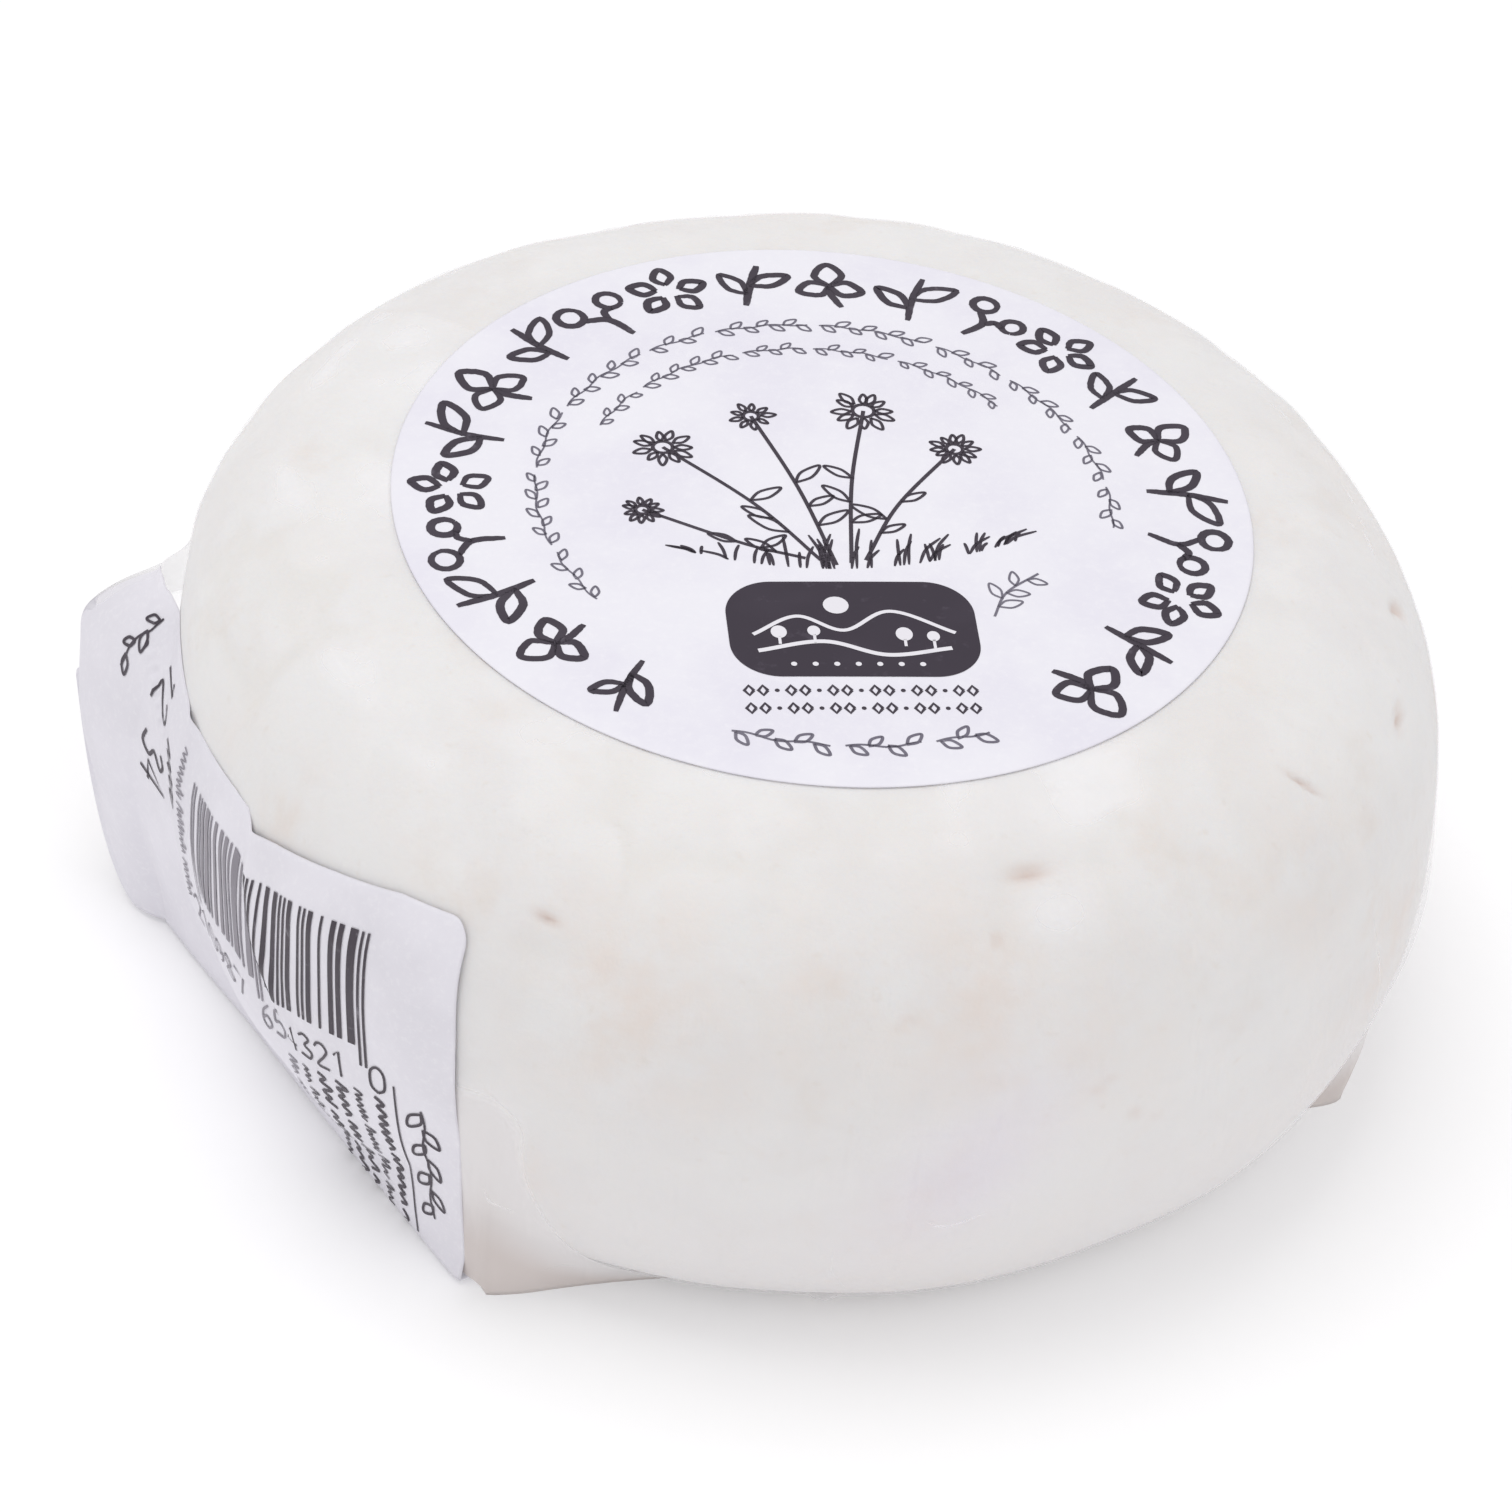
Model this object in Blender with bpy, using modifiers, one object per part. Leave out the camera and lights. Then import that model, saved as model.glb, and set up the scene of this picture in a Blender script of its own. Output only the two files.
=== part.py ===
"""Round fresh goat cheese, wrapped in clear film, with a round top label and a side label.

The wrapped cheese is one solid: a turned wheel whose skin is drawn out where the film
stands off it. The two labels are thin solids that follow that skin. The wheel rests on
its flat underside at z = 0, and +Y is its back.
"""
import math

import bmesh
import bpy
from mathutils import Vector

# Driving dimensions, in metres
RADIUS = 0.044
HEIGHT = 0.0385
TOP_LABEL_RADIUS = 0.029
LABEL_THICKNESS = 0.00025
GAP = 0.0003
POCKET_DEPTH = 0.0008

# The turned profile: where it is widest, its two flat faces and how full its shoulders are
WIDEST_Z = 0.555 * HEIGHT
TOP_FLAT_RADIUS = 0.65 * RADIUS
BASE_FLAT_RADIUS = 0.76 * RADIUS
SHOULDER_POWER = 2.15
LOWER_POWER = 2.25
CROWN = 0.0004

# Unevenness of the hand-made wheel
FLAT_SIDE_DEPTH = 0.020 * RADIUS
FLAT_SIDE_AZIMUTH = 180.0
FULL_SIDE_DEPTH = 0.022 * RADIUS
FULL_SIDE_AZIMUTH = -18.0
LOBE_DEPTH = 0.009 * RADIUS
LOBE_COUNT = 4
LOBE_AZIMUTH = 158.0
TOP_WAVE = 0.00025

# Mesh steps, with extra lines where the film turns sharply round its ear
TURN_STEPS = 96
EAR_LINES = (-158, -162, -165, -167, -169, -171.5, -172.3, -173.2, -174.5, -176, -179.5, -181, -185, -189, -193)
TOP_RINGS = 4
SHOULDER_RINGS = 8
LOWER_RINGS = 9
BASE_RINGS = 3
INNER_FOOT = 0.97

# The fold of the film under the side label: a straight line on the floor, from its
# front corner to its left corner, and then up the edge of a free ear of film
FOLD_FRONT = Vector((-0.377, -0.919)) * RADIUS
FOLD_LEFT = Vector((-0.957, -0.173)) * RADIUS
EAR_AZIMUTH = -181.0
EAR_FOLD_Z = 0.35 * RADIUS
EAR_FOLD_RADIUS = 1.135 * RADIUS
EAR_TOP_RADIUS = 1.010 * RADIUS
EAR_TOP_Z = 0.575 * RADIUS
EAR_BULGE = 0.045 * RADIUS
EAR_FADE = 14.0
EAR_CAP = 0.05 * RADIUS
SHEET_TOP_Z = 0.45 * RADIUS
UNDERSIDE_RADIUS = 0.86 * RADIUS
CORNER_FADE = 13.0

# Pleats that stand out round the foot: azimuth, foot radius and half width in degrees
PLEATS = (
    (-16.0, 0.965 * RADIUS, 6.0),
    (58.0, 0.90 * RADIUS, 7.0),
    (121.0, 0.92 * RADIUS, 6.0),
)

# The side label, which is stuck on a little askew
LABEL_RIGHT_TOP = -117.5
LABEL_RIGHT_FOOT = -114.6
LABEL_BEND = -142.5
LABEL_LEFT = -180.5
LABEL_TOP_RIGHT_Z = 0.715 * RADIUS
LABEL_TOP_BEND_Z = 0.61 * RADIUS
LABEL_TOP_LEFT_Z = 0.565 * RADIUS
LABEL_UNDER_BASE = 0.009
LABEL_UNDER_EAR = 0.003
LABEL_CORNER = 0.0016
LABEL_COLUMNS = 44
LABEL_ROWS = 16
LABEL_FOLD_ROW = 12


def clear_scene():
    """Start from an empty file."""
    for thing in list(bpy.data.objects):
        bpy.data.objects.remove(thing, do_unlink=True)


def make_collection(name):
    """A collection linked to the scene."""
    group = bpy.data.collections.new(name)
    bpy.context.scene.collection.children.link(group)
    return group


def make_material(name, colour, roughness, metallic=0.0):
    """A Principled material of one colour."""
    material = bpy.data.materials.new(name)
    material.use_nodes = True
    shader = material.node_tree.nodes["Principled BSDF"]
    shader.inputs["Base Color"].default_value = (*colour, 1.0)
    shader.inputs["Roughness"].default_value = roughness
    shader.inputs["Metallic"].default_value = metallic
    return material


def mesh_object(name, bm, group, material):
    """Turn a bmesh into a smooth-shaded object in its collection."""
    mesh = bpy.data.meshes.new(name)
    bm.to_mesh(mesh)
    bm.free()
    thing = bpy.data.objects.new(name, mesh)
    thing.data.materials.append(material)
    group.objects.link(thing)
    mesh.shade_smooth()
    mesh.set_sharp_from_angle(angle=math.radians(35.0))
    return thing


def smooth_step(value, start, end):
    """0 before start, 1 after end, with a soft curve between them."""
    share = min(max((value - start) / (end - start), 0.0), 1.0)
    return share * share * (3.0 - 2.0 * share)


def blend(start, end, share):
    """The value part of the way from start to end."""
    return start + (end - start) * share


def azimuth_of(x, y):
    """Azimuth in degrees, from -210 to 150, so that the label's range is unbroken."""
    angle = math.degrees(math.atan2(y, x))
    return angle - 360.0 if angle > 150.0 else angle


def profile_radius(z):
    """The radius of the turned profile at height z."""
    if z >= WIDEST_Z:
        share = min((z - WIDEST_Z) / (HEIGHT - WIDEST_Z), 1.0)
        flat, power = TOP_FLAT_RADIUS, SHOULDER_POWER
    else:
        share = min((WIDEST_Z - z) / WIDEST_Z, 1.0)
        flat, power = BASE_FLAT_RADIUS, LOWER_POWER
    return flat + (RADIUS - flat) * (1.0 - share ** power) ** (1.0 / power)


def unevenness(azimuth, z):
    """How far the cheese's side stands out of its turned profile."""
    angle = math.radians(azimuth)
    below = smooth_step(z, 0.72 * RADIUS, 0.50 * RADIUS)
    facing = max(math.cos(angle - math.radians(FLAT_SIDE_AZIMUTH)), 0.0)
    above = smooth_step(z, 0.50 * RADIUS, 0.66 * RADIUS) * smooth_step(z, HEIGHT, 0.94 * HEIGHT)
    lobes = math.cos(LOBE_COUNT * (angle - math.radians(LOBE_AZIMUTH)))
    flat_side = FLAT_SIDE_DEPTH * below * facing ** 2
    full = max(math.cos(angle - math.radians(FULL_SIDE_AZIMUTH)), 0.0)
    low = smooth_step(z, 0.62 * RADIUS, 0.30 * RADIUS)
    return LOBE_DEPTH * lobes * above - flat_side + FULL_SIDE_DEPTH * low * full ** 8


def cheese_radius(azimuth, z):
    """The cheese's own radius at an azimuth in degrees and a height."""
    return profile_radius(z) + unevenness(azimuth, z)


def top_height(x, y):
    """The height of the top face: a slight crown with two slow waves."""
    share = min(math.hypot(x, y) / TOP_FLAT_RADIUS, 1.0)
    waves = math.sin(70.0 * x + 1.0) * math.cos(55.0 * y - 0.6)
    return HEIGHT - CROWN * share ** 2 + TOP_WAVE * waves * (1.0 - share ** 4)


def fold_point(azimuth):
    """Radius and height of the line where the film turns under, at an azimuth."""
    along = FOLD_LEFT - FOLD_FRONT
    outward = Vector((-along.y, along.x)).normalized()
    if outward.dot(FOLD_FRONT) < 0.0:
        outward = -outward
    distance = outward.dot(FOLD_FRONT)
    facing = math.degrees(math.atan2(outward.y, outward.x))
    front = azimuth_of(FOLD_FRONT.x, FOLD_FRONT.y)
    left = azimuth_of(FOLD_LEFT.x, FOLD_LEFT.y)
    if azimuth > front:
        fade = math.exp(-(azimuth - front) / CORNER_FADE)
        return blend(BASE_FLAT_RADIUS, FOLD_FRONT.length, fade), 0.0
    if azimuth >= left:
        return distance / math.cos(math.radians(azimuth - facing)), 0.0
    share = min((left - azimuth) / (left - EAR_AZIMUTH), 1.0)
    radius = blend(FOLD_LEFT.length, EAR_FOLD_RADIUS, share ** 0.65)
    return radius, EAR_FOLD_Z * share ** 1.6


def ear_share(azimuth):
    """0 on the tight film, 1 along the ear, then fading round the back."""
    rising = smooth_step(azimuth, -160.0, -178.0)
    fading = smooth_step(azimuth, EAR_AZIMUTH - EAR_FADE, EAR_AZIMUTH)
    return rising * fading


def pleat_radius(azimuth):
    """The foot radius that the small pleats give the film."""
    radius = BASE_FLAT_RADIUS
    for centre, foot, width in PLEATS:
        fade = math.exp(-abs(azimuth - centre) / width)
        radius = max(radius, blend(BASE_FLAT_RADIUS, foot, fade))
    return radius


def film_foot(azimuth):
    """Radius and height of the film's lower edge all the way round."""
    fading = 1.0
    if azimuth < EAR_AZIMUTH:
        fading = smooth_step(azimuth, EAR_AZIMUTH - EAR_FADE, EAR_AZIMUTH)
    fold_radius, fold_z = fold_point(azimuth)
    radius = blend(BASE_FLAT_RADIUS, fold_radius, fading)
    return max(radius, pleat_radius(azimuth)), fold_z * fading


def film_radius(azimuth, z):
    """The skin's radius above its lower edge: the cheese, or film that stands off it."""
    own = cheese_radius(azimuth, z)
    foot_radius, foot_z = film_foot(azimuth)
    ear = ear_share(azimuth)
    top_z = blend(SHEET_TOP_Z, EAR_TOP_Z, ear)
    top_radius = blend(cheese_radius(azimuth, SHEET_TOP_Z), EAR_TOP_RADIUS, ear)
    if z <= top_z:
        share = (z - foot_z) / (top_z - foot_z)
        bulge = EAR_BULGE * ear * math.sin(math.pi * share ** 1.3)
        return max(own, blend(foot_radius, top_radius, share) + bulge)
    lift = max(top_radius - cheese_radius(azimuth, top_z), 0.0) * ear
    return own + lift * (1.0 - smooth_step(z, top_z, top_z + EAR_CAP))


def profile_points():
    """The turned profile from the middle of the top, down the side, to the middle of the base."""
    points = []
    for step in range(TOP_RINGS):
        points.append((TOP_FLAT_RADIUS * step / TOP_RINGS, HEIGHT))
    for step in range(SHOULDER_RINGS + 1):
        turn = math.radians(90.0) * (1.0 - step / SHOULDER_RINGS)
        z = WIDEST_Z + (HEIGHT - WIDEST_Z) * math.sin(turn) ** (2.0 / SHOULDER_POWER)
        points.append((profile_radius(z), z))
    for step in range(1, LOWER_RINGS + 1):
        turn = math.radians(90.0) * step / LOWER_RINGS
        z = WIDEST_Z - WIDEST_Z * math.sin(turn) ** (2.0 / LOWER_POWER)
        points.append((profile_radius(z), max(z, 0.0)))
    points.append((INNER_FOOT * BASE_FLAT_RADIUS, 0.0))
    for step in range(1, BASE_RINGS + 1):
        points.append((BASE_FLAT_RADIUS * (1.0 - step / BASE_RINGS), 0.0))
    return points


def turned_bmesh(points, steps, group):
    """Turn a profile with a Screw modifier and close it at its poles."""
    mesh = bpy.data.meshes.new("profile")
    edges = [(index, index + 1) for index in range(len(points) - 1)]
    mesh.from_pydata([(radius, 0.0, z) for radius, z in points], edges, [])
    outline = bpy.data.objects.new("profile", mesh)
    group.objects.link(outline)
    screw = outline.modifiers.new("turn", "SCREW")
    screw.angle = math.radians(360.0)
    screw.steps = steps
    screw.render_steps = steps
    screw.use_merge_vertices = True
    screw.merge_threshold = 0.00001
    bpy.context.view_layer.update()
    turned = outline.evaluated_get(bpy.context.evaluated_depsgraph_get())
    bm = bmesh.new()
    bm.from_mesh(turned.to_mesh())
    turned.to_mesh_clear()
    bpy.data.objects.remove(outline, do_unlink=True)
    bmesh.ops.remove_doubles(bm, verts=bm.verts[:], dist=0.00001)
    return bm


def add_edges_at(bm, azimuths):
    """Cut the turned skin along planes through the axis, so that ridges fall on edges."""
    for azimuth in azimuths:
        angle = math.radians(azimuth)
        outward = Vector((math.cos(angle), math.sin(angle), 0.0))
        faces = [face for face in bm.faces if face.calc_center_median().dot(outward) > 0.0]
        edges = {edge for face in faces for edge in face.edges}
        verts = {vert for face in faces for vert in face.verts}
        parts = list(verts) + list(edges) + faces
        normal = Vector((-outward.y, outward.x, 0.0))
        bmesh.ops.bisect_plane(bm, geom=parts, dist=0.00001, plane_co=(0, 0, 0), plane_no=normal)


def top_settling(x, y, z):
    """How far the crown and its waves lower or raise a point near the top."""
    return (top_height(x, y) - HEIGHT) * smooth_step(z, 0.8 * HEIGHT, HEIGHT)


def shape_skin(bm):
    """Move the turned skin out to the film: its foot ring follows the folds."""
    for vert in bm.verts:
        x, y, z = vert.co
        radius = math.hypot(x, y)
        below = z < WIDEST_Z
        if below and radius < 0.9 * BASE_FLAT_RADIUS:
            continue
        if z > 0.9999 * HEIGHT:
            vert.co.z = z + top_settling(x, y, z)
            continue
        azimuth = azimuth_of(x, y)
        foot_radius, foot_z = film_foot(azimuth)
        if below and radius < 0.985 * BASE_FLAT_RADIUS:
            new_radius, z = min(UNDERSIDE_RADIUS, INNER_FOOT * foot_radius), 0.0
        else:
            if below:
                z = foot_z + z * (WIDEST_Z - foot_z) / WIDEST_Z
            new_radius = foot_radius if z <= foot_z else film_radius(azimuth, z)
        angle = math.radians(azimuth)
        x, y = new_radius * math.cos(angle), new_radius * math.sin(angle)
        vert.co = (x, y, z + top_settling(x, y, z))


def build_wrapped_cheese(group, cutters, material):
    """The cheese and its tight film as one closed solid, with a shallow pocket underneath."""
    bm = turned_bmesh(profile_points(), TURN_STEPS, group)
    ridges = [azimuth_of(FOLD_FRONT.x, FOLD_FRONT.y), azimuth_of(FOLD_LEFT.x, FOLD_LEFT.y)]
    ridges += [EAR_AZIMUTH, *EAR_LINES]
    ridges += [centre for centre, foot, width in PLEATS]
    add_edges_at(bm, ridges)
    shape_skin(bm)
    bmesh.ops.recalc_face_normals(bm, faces=bm.faces[:])
    body = mesh_object("wrapped_cheese", bm, group, material)
    pocket = build_pocket(cutters)
    cut = body.modifiers.new("label_pocket", "BOOLEAN")
    cut.operation = "DIFFERENCE"
    cut.solver = "EXACT"
    cut.object = pocket
    tidy = body.modifiers.new("tidy_corners", "WELD")
    tidy.merge_threshold = 0.00002
    return body


def build_pocket(cutters):
    """The cutter for the shallow pocket in which the side label lies under the base."""
    along = (FOLD_LEFT - FOLD_FRONT).normalized()
    inward = Vector((along.y, -along.x))
    if inward.dot(FOLD_FRONT) > 0.0:
        inward = -inward
    reach = LABEL_UNDER_BASE + 0.0012
    outside = 0.008
    beyond = FOLD_LEFT + along * 0.008
    corners = (
        FOLD_FRONT - inward * outside,
        beyond - inward * outside,
        beyond + inward * reach,
        FOLD_FRONT + inward * reach,
    )
    bm = bmesh.new()
    floor = bm.faces.new([bm.verts.new((corner.x, corner.y, -0.001)) for corner in corners])
    raised = bmesh.ops.extrude_face_region(bm, geom=[floor])
    lifted = [item for item in raised["geom"] if isinstance(item, bmesh.types.BMVert)]
    bmesh.ops.translate(bm, verts=lifted, vec=(0.0, 0.0, 0.001 + POCKET_DEPTH))
    bmesh.ops.recalc_face_normals(bm, faces=bm.faces[:])
    mesh = bpy.data.meshes.new("pocket_cutter")
    bm.to_mesh(mesh)
    bm.free()
    cutter = bpy.data.objects.new("pocket_cutter", mesh)
    cutter.hide_render = True
    cutter.display_type = "WIRE"
    cutters.objects.link(cutter)
    return cutter


def build_top_label(group, material):
    """A round paper label that lies on the crowned top."""
    rings = 4
    points = [(TOP_LABEL_RADIUS * step / rings, LABEL_THICKNESS) for step in range(rings + 1)]
    points += [(TOP_LABEL_RADIUS * (1.0 - step / rings), 0.0) for step in range(rings + 1)]
    bm = turned_bmesh(points, 72, group)
    for vert in bm.verts:
        vert.co.z += top_height(vert.co.x, vert.co.y) + GAP
    bmesh.ops.recalc_face_normals(bm, faces=bm.faces[:])
    return mesh_object("top_label", bm, group, material)


def label_paths(azimuth, top_z):
    """The label's inner face at one azimuth: down the side, and on from the fold underneath."""
    angle = math.radians(azimuth)
    spoke = Vector((math.cos(angle), math.sin(angle), 0.0))
    foot_radius, foot_z = film_foot(azimuth)
    foot_z = max(foot_z, POCKET_DEPTH - GAP)
    ear = smooth_step(azimuth, -169.0, -173.0)
    clear = GAP * (1.25 + 0.9 * smooth_step(azimuth, -152.0, -166.0))
    side = []
    steps = 16
    for step in range(steps):
        z = blend(top_z, foot_z, step / steps)
        side.append(spoke * (film_radius(azimuth, z) + clear) + Vector((0.0, 0.0, z)))
    fold = spoke * (film_radius(azimuth, foot_z) + 1.2 * clear)
    fold.z = foot_z - ear * 1.5 * GAP
    fold.z = max(fold.z, POCKET_DEPTH - GAP)
    side.append(fold)
    along = (FOLD_LEFT - FOLD_FRONT).normalized()
    inward = Vector((along.y, -along.x, 0.0))
    if inward.dot(spoke) > 0.0:
        inward = -inward
    flat = fold + inward * LABEL_UNDER_BASE
    to_base = spoke * (UNDERSIDE_RADIUS - foot_radius) - Vector((0.0, 0.0, foot_z))
    slanted = fold + to_base.normalized() * LABEL_UNDER_EAR - Vector((0.0, 0.0, GAP))
    slanted.z = max(slanted.z, POCKET_DEPTH - GAP)
    return side, [fold, flat.lerp(slanted, ear)]


def point_on(path, share):
    """The point at a share of a path's length."""
    lengths = [(end - start).length for start, end in zip(path, path[1:])]
    distance = share * sum(lengths)
    for start, end, length in zip(path, path[1:], lengths):
        if distance <= length:
            return start.lerp(end, distance / length)
        distance -= length
    return path[-1]


def label_top(azimuth):
    """The height of the label's top edge, which bends where the paper is tucked."""
    if azimuth > LABEL_BEND:
        share = (LABEL_RIGHT_TOP - azimuth) / (LABEL_RIGHT_TOP - LABEL_BEND)
        return blend(LABEL_TOP_RIGHT_Z, LABEL_TOP_BEND_Z, share)
    share = (LABEL_BEND - azimuth) / (LABEL_BEND - LABEL_LEFT)
    return blend(LABEL_TOP_BEND_Z, LABEL_TOP_LEFT_Z, share)


def label_point(across, down):
    """The label's place on the film: across from the right edge, down from the top edge."""
    fold_at = LABEL_FOLD_ROW / LABEL_ROWS
    right = blend(LABEL_RIGHT_TOP, LABEL_RIGHT_FOOT, min(down / fold_at, 1.0))
    azimuth = blend(right, LABEL_LEFT, across)
    top_z = label_top(blend(LABEL_RIGHT_TOP, LABEL_LEFT, across))
    side, under = label_paths(azimuth, top_z)
    if down <= fold_at + 0.0001:
        return point_on(side, min(down / fold_at, 1.0))
    return point_on(under, (down - fold_at) / (1.0 - fold_at))


def build_side_label(group, material):
    """A paper label with rounded corners that follows the side and folds under the base."""
    bm = bmesh.new()
    bmesh.ops.create_grid(bm, x_segments=1, y_segments=1, size=0.5)
    width = RADIUS * math.radians(LABEL_RIGHT_TOP - LABEL_LEFT)
    height = width * 0.72
    bmesh.ops.scale(bm, verts=bm.verts[:], vec=(width, height, 1.0))
    bmesh.ops.bevel(
        bm, geom=bm.verts[:], offset=LABEL_CORNER, segments=3, affect="VERTICES",
        profile=0.5, material=-1,
    )
    for step in range(1, LABEL_COLUMNS):
        parts = bm.verts[:] + bm.edges[:] + bm.faces[:]
        place = (width * (step / LABEL_COLUMNS - 0.5), 0.0, 0.0)
        bmesh.ops.bisect_plane(bm, geom=parts, dist=0.00001, plane_co=place, plane_no=(1, 0, 0))
    for step in range(1, LABEL_ROWS):
        parts = bm.verts[:] + bm.edges[:] + bm.faces[:]
        place = (0.0, height * (step / LABEL_ROWS - 0.5), 0.0)
        bmesh.ops.bisect_plane(bm, geom=parts, dist=0.00001, plane_co=place, plane_no=(0, 1, 0))
    for vert in bm.verts:
        across = 0.5 - vert.co.x / width
        down = 0.5 - vert.co.y / height
        vert.co = label_point(across, down)
    bm.normal_update()
    side = sum((face.normal.dot(Vector((-1.0, -1.0, 0.0))) for face in bm.faces))
    if side < 0.0:
        bmesh.ops.reverse_faces(bm, faces=bm.faces[:])
    label = mesh_object("side_label", bm, group, material)
    wall = label.modifiers.new("paper", "SOLIDIFY")
    wall.thickness = LABEL_THICKNESS
    wall.offset = 1.0
    return label


def main():
    clear_scene()
    group = make_collection("wrapped_goat_cheese")
    cutters = make_collection("cutters")
    film = make_material("film_on_cheese", (0.80, 0.77, 0.73), 0.30)
    round_paper = make_material("round_label_paper", (0.82, 0.80, 0.86), 0.55)
    side_paper = make_material("side_label_paper", (0.72, 0.70, 0.76), 0.50)
    build_wrapped_cheese(group, cutters, film)
    build_top_label(group, round_paper)
    build_side_label(group, side_paper)


main()
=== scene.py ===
# %% [markdown]
# # A small round goat cheese in clear film
#
# The real thing is a wheel of fresh white cheese, 88 mm across, wrapped tightly in cling
# film. A round paper label lies on top. A second label runs down the left side and folds
# under the base. There the film doesn't touch the cheese: it makes a flat web with a
# free ear at its left end.
#
# The imported solids come first, because every piece below is fitted to them.

# %% Load the frame
import math
import random

import bmesh
import bpy
import numpy as np
from mathutils import Matrix, Vector


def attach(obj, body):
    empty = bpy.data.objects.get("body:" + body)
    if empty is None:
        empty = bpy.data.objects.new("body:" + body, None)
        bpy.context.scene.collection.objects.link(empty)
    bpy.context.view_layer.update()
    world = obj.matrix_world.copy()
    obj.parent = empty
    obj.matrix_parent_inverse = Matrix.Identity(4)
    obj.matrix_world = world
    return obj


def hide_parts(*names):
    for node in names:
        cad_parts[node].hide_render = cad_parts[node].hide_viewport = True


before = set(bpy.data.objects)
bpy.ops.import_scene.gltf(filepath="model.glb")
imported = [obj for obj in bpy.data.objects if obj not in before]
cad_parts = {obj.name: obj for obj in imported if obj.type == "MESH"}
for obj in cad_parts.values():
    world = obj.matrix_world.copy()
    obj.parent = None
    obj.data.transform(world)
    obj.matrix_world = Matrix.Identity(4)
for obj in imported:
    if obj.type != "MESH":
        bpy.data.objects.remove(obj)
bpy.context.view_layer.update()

print("frame nodes:", sorted(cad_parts))

# %% [markdown]
# ## Driving sizes
#
# The wheel's sizes are the same named values as in the solids. Lengths are metres and
# azimuths are degrees, counted from +X. The camera stands on the -Y side, so the left
# side of the photo is at 180 degrees, which is also written as -180.

# %% Sizes of the wheel, the film and the labels
MM = 0.001
RADIUS = 44 * MM
HEIGHT = 38.5 * MM
WIDEST_Z = 0.555 * HEIGHT
TOP_FLAT_RADIUS = 0.65 * RADIUS
BASE_FLAT_RADIUS = 0.76 * RADIUS
SHOULDER_POWER = 2.15
LOWER_POWER = 2.25
CROWN = 0.4 * MM
TOP_WAVE = 0.25 * MM
FLAT_SIDE_DEPTH = 0.020 * RADIUS
FULL_SIDE_DEPTH = 0.022 * RADIUS
FULL_SIDE_AZIMUTH = -18.0
LOBE_DEPTH = 0.009 * RADIUS
LOBE_AZIMUTH = 158.0

FOLD_FRONT = np.array((-0.377, -0.919)) * RADIUS
FOLD_LEFT = np.array((-0.957, -0.173)) * RADIUS
EAR_AZIMUTH = -181.0
EAR_FOLD_Z = 0.35 * RADIUS
EAR_FOLD_RADIUS = 1.135 * RADIUS
EAR_TOP_RADIUS = 1.018 * RADIUS
EAR_TOP_Z = 0.575 * RADIUS
EAR_BULGE = 0.066 * RADIUS
EAR_FADE = 8.5
EAR_CAP = 0.05 * RADIUS
SHEET_TOP_Z = 0.45 * RADIUS
UNDERSIDE_RADIUS = 0.86 * RADIUS
INNER_FOOT = 0.97
CORNER_FADE = 13.0
POCKET_DEPTH = 0.8 * MM
PLEATS = ((-16.0, 0.965 * RADIUS, 6.0), (58.0, 0.90 * RADIUS, 7.0), (121.0, 0.92 * RADIUS, 6.0))

PLEAT_ROUNDING = 2.5
ALONG_FOLD = (FOLD_LEFT - FOLD_FRONT) / np.linalg.norm(FOLD_LEFT - FOLD_FRONT)
INTO_BASE = np.array((ALONG_FOLD[1], -ALONG_FOLD[0]))
FOLD_DISTANCE = -float(INTO_BASE @ FOLD_FRONT)
print("the fold passes the axis at", round(FOLD_DISTANCE / MM, 1), "mm")

# %% [markdown]
# ## The camera
#
# The photo looks down on the cheese by 40 degrees, from about eight wheel radii away,
# and it is tilted a little, so that the right side hangs lower. The shift only moves the
# wheel to its place in the frame.

# %% Set up the camera
CAMERA_PITCH = math.radians(40.16)
CAMERA_ROLL = math.radians(6.58)
CAMERA_DISTANCE = 8.0 * RADIUS
PHOTO_SIZE = 1512
FOCAL_PIXELS = 5068.0
AIM_PIXEL = (799.5, 715.3)

camera_data = bpy.data.cameras.new("camera")
camera = bpy.data.objects.new("camera", camera_data)
bpy.context.scene.collection.objects.link(camera)
camera_data.sensor_width = 36.0
camera_data.lens = camera_data.sensor_width * FOCAL_PIXELS / PHOTO_SIZE
camera_data.shift_x = (PHOTO_SIZE / 2 - AIM_PIXEL[0]) / PHOTO_SIZE
camera_data.shift_y = (AIM_PIXEL[1] - PHOTO_SIZE / 2) / PHOTO_SIZE
camera_data.clip_start = 0.01
towards_camera = Vector((0.0, -math.cos(CAMERA_PITCH), math.sin(CAMERA_PITCH)))
turn = (-towards_camera).to_track_quat("-Z", "Y").to_matrix().to_4x4()
middle = Vector((0.0, 0.0, HEIGHT / 2))
roll = Matrix.Rotation(CAMERA_ROLL, 4, "Z")
camera.matrix_world = Matrix.Translation(middle + towards_camera * CAMERA_DISTANCE) @ turn @ roll
bpy.context.scene.camera = camera
print("lens", round(camera_data.lens, 1), "mm")

# %% [markdown]
# ## The form as functions
#
# A wheel that is ladled and turned by hand isn't a perfect turned shape. So its radius is
# a function of azimuth and height: a soft profile, a flatter left side, a fuller right
# side and four slow lobes on the shoulder. The functions work on whole arrays of points,
# which keeps a fine mesh quick to shape.

# %% Shape functions of the cheese
def smooth_step(value, start, end):
    """0 before start, 1 after end, with a soft curve between them."""
    share = np.clip((value - start) / (end - start), 0.0, 1.0)
    return share * share * (3.0 - 2.0 * share)


def blend(start, end, share):
    """The value part of the way from start to end."""
    return start + (end - start) * share


def azimuth_of(x, y):
    """Azimuth in degrees, from -210 to 150, so that the label's range is unbroken."""
    angle = np.degrees(np.arctan2(y, x))
    return np.where(angle > 150.0, angle - 360.0, angle)


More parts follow.
